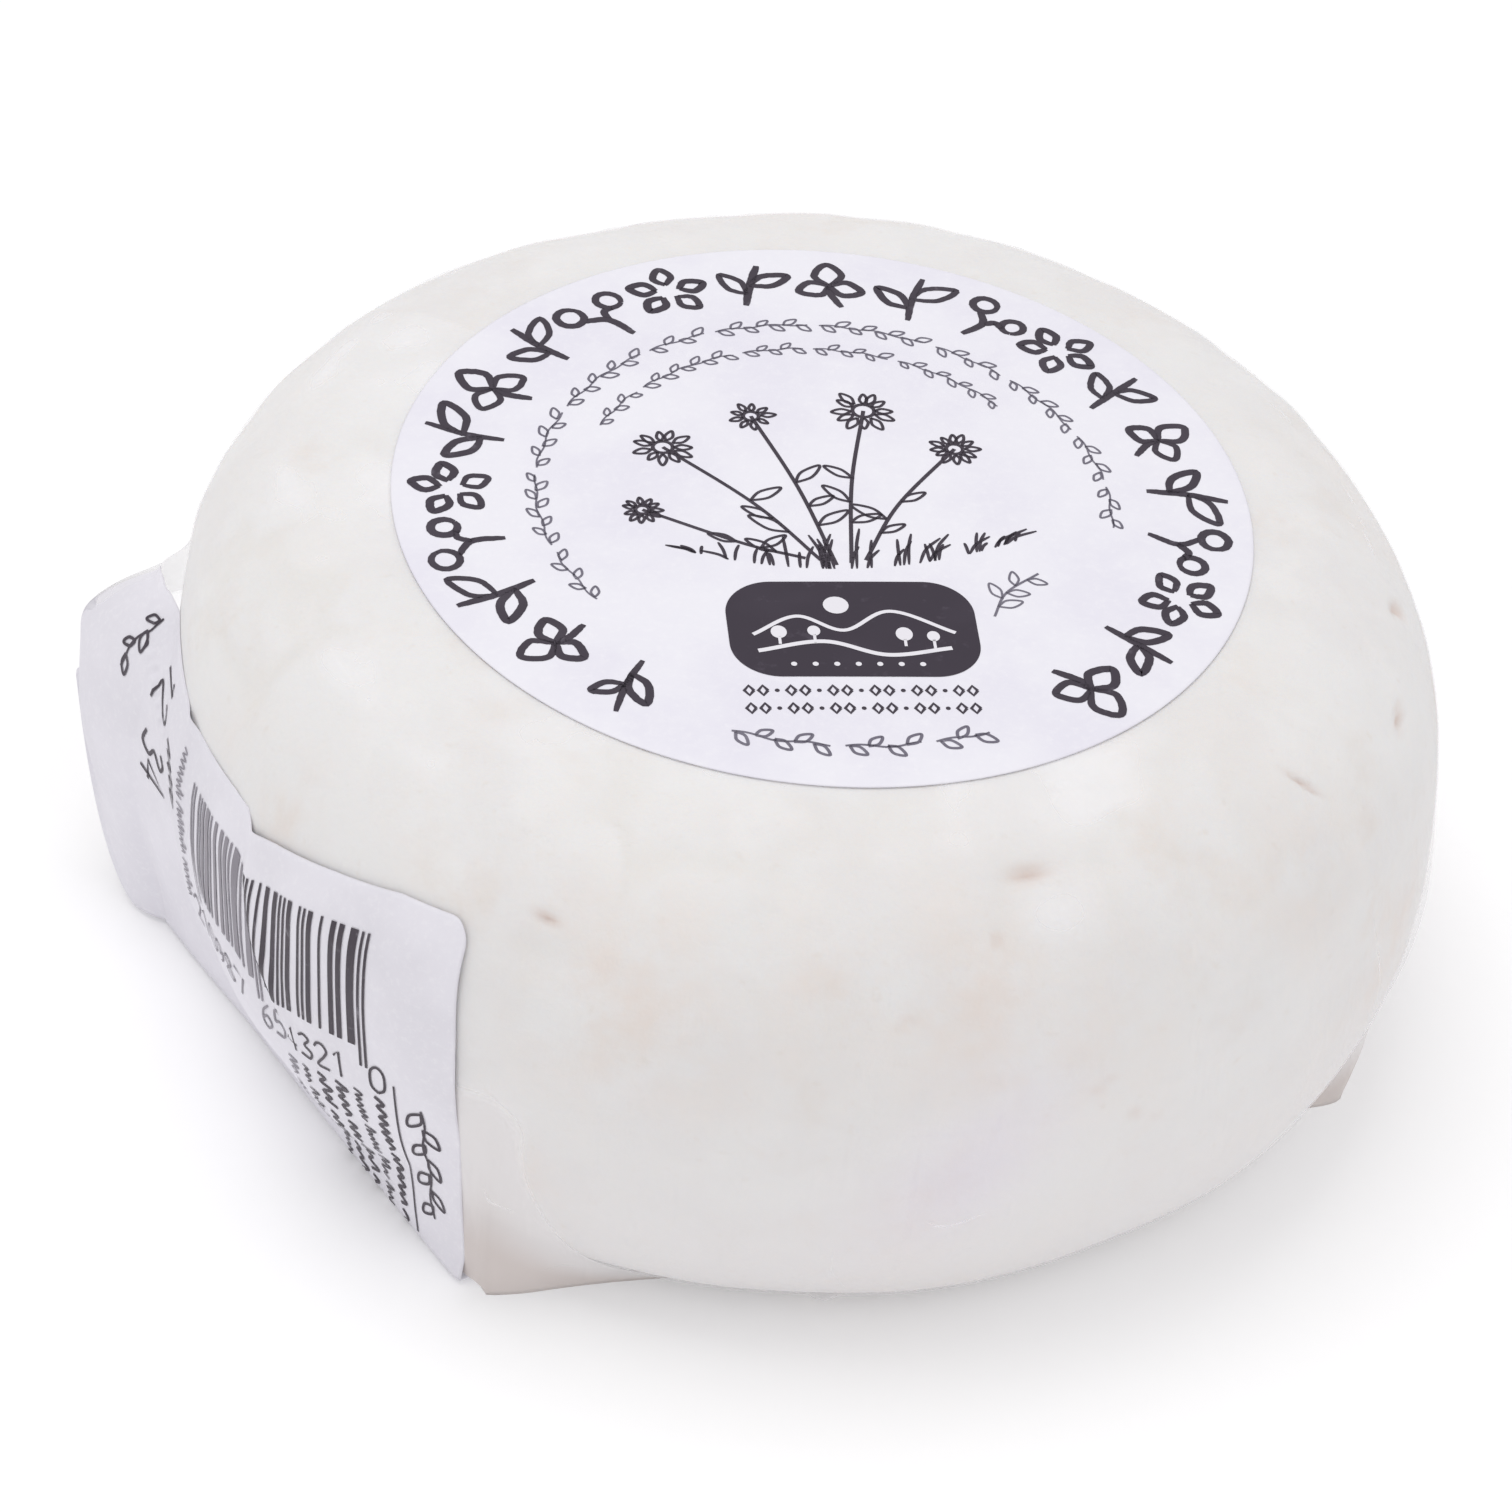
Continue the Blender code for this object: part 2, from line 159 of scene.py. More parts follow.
def profile_radius(z):
    """The radius of the turned profile at height z."""
    above = z >= WIDEST_Z
    share = np.where(above, (z - WIDEST_Z) / (HEIGHT - WIDEST_Z), (WIDEST_Z - z) / WIDEST_Z)
    share = np.clip(share, 0.0, 1.0)
    flat = np.where(above, TOP_FLAT_RADIUS, BASE_FLAT_RADIUS)
    power = np.where(above, SHOULDER_POWER, LOWER_POWER)
    return flat + (RADIUS - flat) * (1.0 - share ** power) ** (1.0 / power)


def cheese_radius(azimuth, z):
    """The cheese's radius with its hand-made unevenness."""
    angle = np.radians(azimuth)
    low = smooth_step(z, 0.72 * RADIUS, 0.50 * RADIUS)
    flat_side = FLAT_SIDE_DEPTH * low * np.maximum(np.cos(angle - math.pi), 0.0) ** 2
    facing = np.maximum(np.cos(angle - math.radians(FULL_SIDE_AZIMUTH)), 0.0) ** 8
    full_side = FULL_SIDE_DEPTH * smooth_step(z, 0.62 * RADIUS, 0.30 * RADIUS) * facing
    shoulder = smooth_step(z, 0.50 * RADIUS, 0.66 * RADIUS) * smooth_step(z, HEIGHT, 0.94 * HEIGHT)
    lobes = LOBE_DEPTH * shoulder * np.cos(4.0 * (angle - math.radians(LOBE_AZIMUTH)))
    return profile_radius(z) + lobes - flat_side + full_side


def top_height(x, y):
    """The height of the top face: a slight crown with two slow waves."""
    share = np.minimum(np.hypot(x, y) / TOP_FLAT_RADIUS, 1.0)
    waves = np.sin(70.0 * x + 1.0) * np.cos(55.0 * y - 0.6)
    return HEIGHT - CROWN * share ** 2 + TOP_WAVE * waves * (1.0 - share ** 4)


def top_settling(x, y, z):
    """How far the crown and its waves lower or raise a point near the top."""
    return (top_height(x, y) - HEIGHT) * smooth_step(z, 0.8 * HEIGHT, HEIGHT)


print("widest radius", round(float(cheese_radius(0.0, WIDEST_Z)) / MM, 2), "mm")

# %% [markdown]
# The film is tight on the cheese nearly everywhere. Its lower edge is pulled outwards at
# the fold under the side label, at the ear and at three small pleats. Above that edge the
# film runs straight to the cheese's side, so its radius is whichever is larger: the
# cheese or the straight sheet.

# %% Shape functions of the film
def film_foot(azimuth):
    """Radius and height of the film's lower edge all the way round."""
    facing = math.degrees(math.atan2(-INTO_BASE[1], -INTO_BASE[0]))
    front = float(azimuth_of(*FOLD_FRONT))
    left = float(azimuth_of(*FOLD_LEFT))
    fading = np.exp(-np.maximum(azimuth - front, 0) / CORNER_FADE)
    corner = blend(BASE_FLAT_RADIUS, np.linalg.norm(FOLD_FRONT), fading)
    rounding = 0.55 * MM * np.exp(-((azimuth - front) / 2.0) ** 2)
    straight = FOLD_DISTANCE / np.cos(np.radians(np.clip(azimuth, left, front) - facing))
    share = np.clip((left - azimuth) / (left - EAR_AZIMUTH), 0.0, 1.0)
    ear = blend(np.linalg.norm(FOLD_LEFT), EAR_FOLD_RADIUS, share ** 0.65)
    radius = np.where(azimuth > front, corner, np.where(azimuth >= left, straight, ear))
    fading = smooth_step(azimuth, EAR_AZIMUTH - EAR_FADE, EAR_AZIMUTH)
    radius = blend(BASE_FLAT_RADIUS, radius - rounding, fading)
    for centre, foot, width in PLEATS:
        fade = np.exp(-(np.hypot(azimuth - centre, PLEAT_ROUNDING) - PLEAT_ROUNDING) / width)
        radius = np.maximum(radius, blend(BASE_FLAT_RADIUS, foot, fade))
    return radius, EAR_FOLD_Z * share ** 1.6 * fading


def ear_share(azimuth):
    """0 on the tight film, 1 along the ear, then fading round the back."""
    return smooth_step(azimuth, -160.0, -178.0) * smooth_step(azimuth, EAR_AZIMUTH - EAR_FADE, EAR_AZIMUTH)


def free_sheet(azimuth, z):
    """The straight sheet's radius at height z, and the radius and height of its top."""
    foot_radius, foot_z = film_foot(azimuth)
    ear = ear_share(azimuth)
    top_z = blend(SHEET_TOP_Z, EAR_TOP_Z, ear)
    top_radius = blend(cheese_radius(azimuth, SHEET_TOP_Z), EAR_TOP_RADIUS, ear)
    share = np.clip((z - foot_z) / (top_z - foot_z), 0.0, 1.0)
    sheet = blend(foot_radius, top_radius, share) + EAR_BULGE * ear * np.sin(math.pi * share ** 1.3)
    return sheet, top_radius, top_z


def film_radius(azimuth, z):
    """The film's radius above its lower edge."""
    own = cheese_radius(azimuth, z)
    sheet, top_radius, top_z = free_sheet(azimuth, z)
    lift = np.maximum(top_radius - cheese_radius(azimuth, top_z), 0.0) * ear_share(azimuth)
    over = own + lift * (1.0 - smooth_step(z, top_z, top_z + EAR_CAP))
    return np.where(z <= top_z, np.maximum(own, sheet), over)


print("the ear stands out", round(float(film_radius(EAR_AZIMUTH, EAR_FOLD_Z) - RADIUS) / MM, 1), "mm")

# %% [markdown]
# ## Turning a profile
#
# Both the cheese and the film start as an outline that is spun once round the axis. The
# spin is a single bmesh operator. Afterwards every point is moved to its place by the
# functions above, which is how the fine unevenness gets in.

# %% Helpers that make and shape meshes
def spun(outline, steps):
    """Spin an outline of (radius, height) points round the Z axis into a closed skin."""
    bm = bmesh.new()
    verts = [bm.verts.new((radius, 0.0, z)) for radius, z in outline]
    edges = [bm.edges.new(pair) for pair in zip(verts, verts[1:])]
    bmesh.ops.spin(
        bm, geom=verts + edges, cent=(0, 0, 0), axis=(0, 0, 1), angle=math.tau, steps=steps, use_merge=True
    )
    bmesh.ops.remove_doubles(bm, verts=bm.verts[:], dist=0.001 * MM)
    bmesh.ops.recalc_face_normals(bm, faces=bm.faces[:])
    return bm


def curve(points, steps=12):
    """A smooth line through a few points."""
    points = np.asarray(points, float)
    padded = np.vstack([2 * points[0] - points[1], points, 2 * points[-1] - points[-2]])
    line = []
    for first, second, third, fourth in zip(padded, padded[1:], padded[2:], padded[3:]):
        for share in np.arange(steps) / steps:
            bend = (-first + 3 * second - 3 * third + fourth) * share ** 3
            bend += (2 * first - 5 * second + 4 * third - fourth) * share ** 2
            line.append(0.5 * (bend + (third - first) * share + 2 * second))
    return np.vstack([line, points[-1]])


def finished(name, bm, material):
    """Make the object, shade it smooth and let it ride on the part."""
    for vert in bm.verts:
        vert.co.z = max(vert.co.z, 0.0)
    mesh = bpy.data.meshes.new(name)
    bm.to_mesh(mesh)
    bm.free()
    mesh.materials.append(material)
    mesh.shade_smooth()
    piece = bpy.data.objects.new(name, mesh)
    bpy.context.scene.collection.objects.link(piece)
    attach(piece, "root")
    print(name, len(mesh.polygons), "faces")
    return piece


def points_of(mesh):
    """All points of a mesh as an array."""
    flat = np.empty(len(mesh.vertices) * 3)
    mesh.vertices.foreach_get("co", flat)
    return flat.reshape(-1, 3)


def normals_of(mesh):
    """The unit normals at all points of a mesh."""
    flat = np.empty(len(mesh.vertices) * 3)
    mesh.vertices.foreach_get("normal", flat)
    return flat.reshape(-1, 3)


def move_points(mesh, points):
    """Give a mesh its points back. None may sink into the floor."""
    points[:, 2] = np.maximum(points[:, 2], 0.0)
    mesh.vertices.foreach_set("co", points.ravel())
    mesh.update()


def paint(mesh, name, values):
    """Store one number for each point, for the shader to read."""
    layer = mesh.attributes.new(name, "FLOAT", "POINT")
    layer.data.foreach_set("value", np.asarray(values, np.float32))


# %% [markdown]
# Unevenness needs noise at some hundred thousand points. Both kinds below work on a
# lattice of unit cells. One gives each lattice point a random slope and blends the
# slopes. The other puts a random centre in each cell and measures how close a point is to
# the border between two centres, which makes a net of creases.

# %% Noise on whole arrays
LATTICE = np.array((73856093, 19349663, 83492791))


def gradient_noise(points, seed):
    """Smooth noise between about -1 and 1, with features of size 1."""
    slopes = np.random.default_rng(seed).normal(size=(4096, 3))
    cell = np.floor(points).astype(np.int64)
    local = points - cell
    ease = local ** 3 * (local * (local * 6.0 - 15.0) + 10.0)
    total = np.zeros(len(points))
    for corner in np.ndindex(2, 2, 2):
        slope = slopes[(cell + corner) @ LATTICE % 4096]
        weight = np.prod(np.where(corner, ease, 1.0 - ease), axis=1)
        total += weight * (slope * (local - corner)).sum(axis=1)
    return total


def noise_at(points, size, seed, octaves=3):
    """Several octaves of smooth noise. The largest features have the given size."""
    total = np.zeros(len(points))
    for octave in range(octaves):
        total += gradient_noise(points * 2.0 ** octave / size + 17.3 * octave, seed + octave) / 2.0 ** octave
    return total


def crease_net(points, size, seed):
    """Share of the way from the nearest border between irregular cells, 0 on the border."""
    points = points / size
    jitter = np.random.default_rng(seed).random((4096, 3))
    cell = np.floor(points).astype(np.int64)
    nearest = np.full(len(points), 9.0)
    second = nearest.copy()
    for step in np.ndindex(3, 3, 3):
        spot = cell + step - 1
        away = np.linalg.norm(points - spot - jitter[spot @ LATTICE % 4096], axis=1)
        second = np.minimum(second, np.maximum(nearest, away))
        nearest = np.minimum(nearest, away)
    return second - nearest


print("noise of three octaves at one point:", noise_at(np.array([[0.01, 0.02, 0.03]]), 6 * MM, 1).round(3))


# %% [markdown]
# ## Shader maths as plain expressions
#
# A node tree is easier to read as a formula. The class below wraps one socket, so that
# adding or multiplying two of them adds the Math node. Any other node comes from
# `Finish.node`, which sets the node's own settings first and then its sockets.

# %% Sockets with operators
class Wire:
    """One output socket that can be used in an expression."""

    def __init__(self, finish, socket):
        self.finish = finish
        self.socket = socket

    def maths(self, operation, *values):
        return self.finish.node("ShaderNodeMath", {"operation": operation}, dict(enumerate(values)))

    def __add__(self, other):
        return self.maths("ADD", self, other)

    def __radd__(self, other):
        return self.maths("ADD", other, self)

    def __sub__(self, other):
        return self.maths("SUBTRACT", self, other)

    def __rsub__(self, other):
        return self.maths("SUBTRACT", other, self)

    def __mul__(self, other):
        return self.maths("MULTIPLY", self, other)

    def __rmul__(self, other):
        return self.maths("MULTIPLY", other, self)

    def clamped(self):
        wire = self.maths("MULTIPLY", self, 1.0)
        wire.socket.node.use_clamp = True
        return wire

    def between(self, low, high):
        """0 below low, 1 above high, with a soft curve between them."""
        settings = {"interpolation_type": "SMOOTHSTEP"}
        return self.finish.node("ShaderNodeMapRange", settings, {0: self, 1: low, 2: high, 3: 0.0, 4: 1.0})


class Finish:
    """A node material of the object, built up as expressions."""

    def __init__(self, name):
        self.material = bpy.data.materials.new(name)
        self.material.use_nodes = True
        self.tree = self.material.node_tree
        self.shader = self.tree.nodes["Principled BSDF"]
        self.output = self.tree.nodes["Material Output"]

    def put(self, node, inputs):
        """Set or link the sockets of a node."""
        for key, value in inputs.items():
            socket = node.inputs[key]
            if isinstance(value, Wire):
                self.tree.links.new(value.socket, socket)
            else:
                socket.default_value = value

    def node(self, kind, settings=None, inputs=None, output=0):
        """Add any node: its own settings first, then its sockets."""
        node = self.tree.nodes.new(kind)
        for key, value in (settings or {}).items():
            setattr(node, key, value)
        self.put(node, inputs or {})
        return Wire(self, node.outputs[output])

    def place(self):
        """Object coordinates, in metres."""
        return self.node("ShaderNodeTexCoord", output="Object")

    def scaled(self, vector, scale):
        """A pattern's coordinates, stretched along X, Y and Z."""
        return self.node("ShaderNodeMapping", None, {"Vector": vector, "Scale": scale})

    def grain(self, vector, per_metre, detail=3.0, roughness=0.5):
        """Noise between 0 and 1 with features of one over per_metre."""
        inputs = {"Vector": vector, "Scale": per_metre, "Detail": detail, "Roughness": roughness}
        return self.node("ShaderNodeTexNoise", None, inputs)

    def attribute(self, name):
        """A number that was painted on the mesh."""
        return self.node("ShaderNodeAttribute", {"attribute_name": name}, output="Fac")

    def colours(self, share, first, second):
        """A colour between two colours or wires."""
        settings = {"data_type": "RGBA"}
        return self.node("ShaderNodeMix", settings, {0: share, 6: first, 7: second}, output=2)

    def bump(self, height, depth, strength=1.0):
        """A normal from a height between 0 and 1 and a depth in metres."""
        return self.node("ShaderNodeBump", None, {"Height": height, "Distance": depth, "Strength": strength})

    def principled(self, inputs):
        self.put(self.shader, inputs)


def colour(red, green, blue):
    """A colour as seen on screen, 0 to 255, as the linear values that shaders use."""
    shares = [value / 255.0 for value in (red, green, blue)]
    return (*[s / 12.92 if s <= 0.04045 else ((s + 0.055) / 1.055) ** 2.4 for s in shares], 1.0)


# %% [markdown]
# ## The cheese's finish
#
# Fresh goat cheese is a cool white. Where the rind dries it turns beige or faintly pink in
# cloudy blotches, and between the curds there is a fine grain. The larger blotches were
# painted on the mesh, where the real cheese has them, and two more of them are painted
# shade: one low by the right pleat, one low beside the side label's right edge. Two sizes
# of noise break them up.
# The colour is painted a touch greyer towards the foot, as painted shade.
# Light goes a few millimetres into the paste, which softens the shading.

# %% Cheese material
def cheese_finish():
    finish = Finish("fresh_cheese")
    place = finish.place()
    cloud = finish.grain(place, 75.0, 5.0, 0.62)
    mottle = finish.grain(place, 210.0, 4.0, 0.62)
    speck = finish.grain(place, 900.0, 2.0, 0.6)
    warm_and_painted_shade = finish.attribute("warm_and_painted_shade") * mottle.between(0.30, 0.72)
    pit = finish.attribute("pit")
    crease = finish.attribute("crease")
    base = finish.colours(cloud.between(0.40, 0.66), colour(236, 235, 234), colour(233, 231, 230))
    base = finish.colours(mottle.between(0.46, 0.70) * 0.5, base, colour(240, 239, 238))
    patches = finish.grain(place, 130.0, 4.0, 0.6).between(0.54, 0.74)
    base = finish.colours(patches * 0.6, base, colour(231, 224, 218))
    # painted shade: the cheese turns greyer towards the foot
    base = finish.colours(finish.attribute("painted_low_shade") * 0.7, base, colour(230, 227, 227))
    # the warm tone covers the rind's blotches and two patches of painted shade
    base = finish.colours((warm_and_painted_shade * 0.85).clamped(), base, colour(230, 215, 204))
    base = finish.colours(crease * 0.4, base, colour(229, 225, 219))
    base = finish.colours(speck.between(0.62, 0.80) * 0.35, base, colour(226, 218, 210))
    base = finish.colours((pit * 0.65).clamped(), base, colour(217, 194, 181))
    curd = finish.grain(place, 1100.0, 3.0, 0.6)
    fine = finish.bump(curd, 0.06 * MM, 0.6)
    coarse = finish.node(
        "ShaderNodeBump", None, {"Height": mottle, "Distance": 0.30 * MM, "Strength": 0.5, "Normal": fine}
    )
    finish.principled({
        "Base Color": base, "Roughness": 0.5 + 0.15 * curd, "Normal": coarse,
        "Subsurface Weight": 0.2, "Subsurface Radius": (1.0, 0.85, 0.7), "Subsurface Scale": 2.0 * MM,
        "Specular IOR Level": 0.3,
    })
    return finish.material


cheese_material = cheese_finish()
print("fresh cheese:", len(cheese_material.node_tree.nodes), "nodes")

# %% [markdown]
# ## The unevenness that cheese and film share
#
# The film is drawn tight, so it follows the cheese's lumps. Both read the same relief,
# which fades under the labels, where the paper lies flat, and towards the base. Under the
# base the film is gathered in radial folds, and it has a shallow bed where the side label
# is folded under.

# %% Shared relief
# painted highlight: the place of a soft lump, and of a painted highlight on the film over it
PAINTED_HIGHLIGHT_SPOT = (-62.9, 0.790 * RADIUS)
LABEL_RIGHT_TOP = -116.4
LABEL_RIGHT_FOOT = -114.6
LABEL_LEFT = -181.8
# azimuth and height of the side label's top edge, with the small step of the tuck
LABEL_EDGE = np.array((
    (-180.5, 0.590), (-176.0, 0.604), (-168.0, 0.604), (-160.0, 0.596), (-156.0, 0.602), (-152.0, 0.611),
    (-147.0, 0.620), (-144.3, 0.620), (-142.6, 0.600), (-139.0, 0.623), (-131.0, 0.666), (-123.7, 0.700),
    (-117.5, 0.712),
)).T * ((1.0,), (RADIUS,))


def round_the_side(azimuth, z, centre, centre_z):
    """Distances in metres round the side and upwards from a place on it."""
    return np.radians(azimuth - centre) * RADIUS, z - centre_z


def free_of_labels(points, azimuth):
    """1 on the bare cheese, 0 where a label lies on it."""
    x, y, z = points.T
    round_label = smooth_step(np.hypot(x, y), 30.8 * MM, 29.0 * MM)
    round_label *= smooth_step(z, 0.8 * HEIGHT, 0.9 * HEIGHT)
    edge_z = np.interp(azimuth, *LABEL_EDGE)
    across = smooth_step(azimuth, LABEL_RIGHT_FOOT + 3.0, LABEL_RIGHT_FOOT + 0.5)
    across *= smooth_step(azimuth, LABEL_LEFT - 5.0, LABEL_LEFT - 1.0)
    side_label = across * smooth_step(z, edge_z + 2.2 * MM, edge_z + 0.4 * MM)
    return (1.0 - round_label) * (1.0 - side_label)


def shared_lumps(points, azimuth):
    """Height of the lumps in metres, outwards, on the nominal surface."""
    z = points[:, 2]
    rim = smooth_step(z, 0.55 * HEIGHT, 0.85 * HEIGHT)
    broad = noise_at(points, 15 * MM, 1, 2) * 0.16 * MM
    middle_size = noise_at(points, 5.5 * MM, 2, 2) * (0.04 + 0.06 * rim) * MM
    lumps = np.clip(broad + middle_size, -0.30 * MM, 0.30 * MM)
    around, up = round_the_side(azimuth, z, *PAINTED_HIGHLIGHT_SPOT)
    lumps += 0.10 * MM * np.exp(-((around / (2.4 * MM)) ** 2 + (up / (1.1 * MM)) ** 2))
    return lumps * free_of_labels(points, azimuth) * smooth_step(z, 0.3 * MM, 4.0 * MM)


def gathered_base(x, y):
    """Height of the film under the base, and 1 where the side label's bed is."""
    radius = np.hypot(x, y)
    swirl = np.arctan2(y, x) + 14.0 * radius
    folds = np.sin(13.0 * swirl) * 0.5 + np.sin(29.0 * swirl + 1.3) * 0.3 + np.sin(7.0 * swirl + 0.4) * 0.2
    reach = smooth_step(radius, 33.0 * MM, 22.0 * MM) * smooth_step(radius, 1.0 * MM, 6.0 * MM)
    gathers = (0.35 + 0.35 * folds) * MM * reach
    flat = np.stack([x, y], axis=1)
    inwards = flat @ INTO_BASE + FOLD_DISTANCE
    along = (flat - FOLD_FRONT) @ ALONG_FOLD
    length = float(np.linalg.norm(FOLD_LEFT - FOLD_FRONT))
    bed = smooth_step(inwards, 10.6 * MM, 10.0 * MM) * smooth_step(along, 0.1 * MM, 0.5 * MM)
    bed *= smooth_step(along, length + 8.5 * MM, length + 8.0 * MM)
    return blend(gathers, POCKET_DEPTH, bed), bed


# %% [markdown]
# ## The cheese
#
# The rind isn't smooth. Round the top label it is crinkled in a net of shallow creases,
# and the side has a handful of small pits from the mould. Each pit is a soft dent at its
# own azimuth and height. The same functions paint where creases, pits, warm blotches and
# patches of painted shade are, for the material to colour.

# %% Build the cheese
CHEESE_INSET = 0.09 * MM
CHEESE_STEPS = 600
# azimuth, height, half length round the side, half height, depth, slope
PITS = (
    (-110.4, 0.748 * RADIUS, 0.95 * MM, 0.22 * MM, 0.40 * MM, 0.1),
    (-64.8, 0.829 * RADIUS, 1.70 * MM, 0.30 * MM, 0.45 * MM, 0.0),
    (-31.0, 0.803 * RADIUS, 0.75 * MM, 0.30 * MM, 0.40 * MM, -0.9),
    (-69.3, 0.772 * RADIUS, 0.40 * MM, 0.35 * MM, 0.20 * MM, 0.0),
    (-77.8, 0.682 * RADIUS, 0.80 * MM, 0.35 * MM, 0.10 * MM, 0.5),
    (-60.1, 0.539 * RADIUS, 0.90 * MM, 0.35 * MM, 0.12 * MM, 0.4),
    (-56.6, 0.461 * RADIUS, 0.50 * MM, 0.35 * MM, 0.12 * MM, 0.0),
    (-54.9, 0.433 * RADIUS, 0.60 * MM, 0.35 * MM, 0.12 * MM, 0.3),
)
FURTHER_PITS = 22
# azimuth, height, reach and strength of the beige and pinkish blotches and of two patches of painted shade
BLOTCHES_AND_PAINTED_SHADE = (
    (-102.0, 0.66 * RADIUS, 7.0 * MM, 0.75), (-96.0, 0.60 * RADIUS, 5.0 * MM, 0.45),
    (-72.0, 0.70 * RADIUS, 6.5 * MM, 0.65), (-85.0, 0.72 * RADIUS, 6.0 * MM, 0.45),
    (-60.0, 0.62 * RADIUS, 7.0 * MM, 0.40), (-139.0, 0.67 * RADIUS, 3.5 * MM, 0.60),
    (-150.0, 0.66 * RADIUS, 4.5 * MM, 0.25), (-127.0, 0.80 * RADIUS, 2.5 * MM, 0.50),
    (-110.0, 0.78 * RADIUS, 4.0 * MM, 0.40), (-36.0, 0.72 * RADIUS, 6.0 * MM, 0.45),
    # the entry at -22 degrees, low by the right pleat, is painted shade
    (-22.0, 0.45 * RADIUS, 7.0 * MM, 0.60), (-46.0, 0.80 * RADIUS, 5.0 * MM, 0.35),
    # the entry at -112 degrees, low beside the side label's right edge, is painted shadow
    (-112.0, 0.30 * RADIUS, 4.0 * MM, 0.50), (20.0, 0.60 * RADIUS, 9.0 * MM, 0.55),
    (60.0, 0.40 * RADIUS, 8.0 * MM, 0.45), (100.0, 0.65 * RADIUS, 9.0 * MM, 0.50),
    (140.0, 0.45 * RADIUS, 8.0 * MM, 0.55),
)


def cheese_outline(rings):
    """The outline from the middle of the top, down the side, to the middle of the base."""
    outline = [(TOP_FLAT_RADIUS * step / 36, HEIGHT) for step in range(36)]
    for step in range(rings + 1):
        turn_angle = math.radians(90.0) * (1.0 - step / rings)
        z = WIDEST_Z + (HEIGHT - WIDEST_Z) * math.sin(turn_angle) ** (2.0 / SHOULDER_POWER)
        outline.append((float(profile_radius(z)), z))
    for step in range(1, rings + 1):
        turn_angle = math.radians(90.0) * step / rings
        z = WIDEST_Z - WIDEST_Z * math.sin(turn_angle) ** (2.0 / LOWER_POWER)
        outline.append((float(profile_radius(max(z, 0.0))), max(z, 0.0)))
    outline += [(BASE_FLAT_RADIUS * (1.0 - step / 20), 0.0) for step in range(1, 21)]
    return outline


def pit_places():
    """The pits that the photo shows, and a seeded scatter of smaller ones elsewhere."""
    draw = random.Random(41)
    places = list(PITS)
    while len(places) < len(PITS) + FURTHER_PITS:
        azimuth = draw.uniform(-20.0, 150.0)
        z = draw.uniform(0.25, 0.83) * RADIUS
        size = draw.uniform(0.3, 1.3) * MM
        depth = draw.uniform(0.2, 0.4) * MM
        places.append((azimuth, z, size, size * draw.uniform(0.25, 0.5), depth, draw.uniform(-0.6, 0.6)))
    return places


def build_cheese():
    bm = spun(cheese_outline(46), CHEESE_STEPS)
    cheese = finished("goat_cheese", bm, cheese_material)
    mesh = cheese.data
    x, y, z = points_of(mesh).T
    azimuth = azimuth_of(x, y)
    angle = np.radians(azimuth)
    radius = np.hypot(x, y)
    side = (z < 0.9999 * HEIGHT) & (radius > 0.99 * profile_radius(z))
    wide = np.where(side, cheese_radius(azimuth, z), radius)
    nominal = np.stack([wide * np.cos(angle), wide * np.sin(angle), z], axis=1)
    tucked = 0.35 * MM * smooth_step(z, 1.6 * MM, 0.0) * side
    lumps = shared_lumps(nominal, azimuth) - CHEESE_INSET - tucked
    points = nominal.copy()
    points[:, 2] += top_settling(nominal[:, 0], nominal[:, 1], z)
    base_z = gathered_base(nominal[:, 0], nominal[:, 1])[0]
    points[:, 2] += (base_z + 0.15 * MM) * smooth_step(z, 5.0 * MM, 0.0)
    move_points(mesh, points)

    bent = nominal + noise_at(nominal, 7 * MM, 5, 2)[:, None] * 1.6 * MM
    net = 1.0 - smooth_step(crease_net(bent, 8.5 * MM, 11), 0.0, 0.30)
    patchy = smooth_step(noise_at(nominal, 14 * MM, 7, 2), -0.30, 0.50)
    rim = smooth_step(z, 0.66 * HEIGHT, 0.90 * HEIGHT) * (0.4 + 0.6 * smooth_step(azimuth, -70.0, -110.0))
    bare = free_of_labels(nominal, azimuth) * (z > 4 * MM)
    crease = net * patchy * (0.06 + 0.94 * rim) * bare
    lumps -= 0.20 * MM * crease
    pit = np.zeros(len(points))
    for pit_azimuth, pit_z, half_length, half_height, depth, slope in pit_places():
        around, up = round_the_side(azimuth, z, pit_azimuth, pit_z)
        dent = np.exp(-((around / half_length) ** 2 + ((up - slope * around) / half_height) ** 2)) * side
        lumps -= dent * depth
        pit += dent * min(1.0, depth / (0.3 * MM))
    warm_and_painted_shade = 0.12 * smooth_step(noise_at(nominal, 20 * MM, 9, 2), 0.1, 0.8)
    # blotches of the rind's own colour, and two patches of painted shade
    for blotch_azimuth, blotch_z, reach, strength in BLOTCHES_AND_PAINTED_SHADE:
        around, up = round_the_side(azimuth, z, blotch_azimuth, blotch_z)
        warm_and_painted_shade = np.maximum(warm_and_painted_shade, strength * np.exp(-(around ** 2 + up ** 2) / reach ** 2) * side)
    points += normals_of(mesh) * lumps[:, None]
    points[:, 2] = np.maximum(points[:, 2], 0.1 * MM)
    move_points(mesh, points)
    paint(mesh, "crease", crease)
    paint(mesh, "pit", np.clip(pit, 0.0, 1.0))
    paint(mesh, "warm_and_painted_shade", np.clip(warm_and_painted_shade, 0.0, 1.0))
    # painted shade: full at the foot, fading out by three quarters of the height
    paint(mesh, "painted_low_shade", smooth_step(z, 0.75 * HEIGHT, 0.10 * HEIGHT))
    return cheese


goat_cheese = build_cheese()
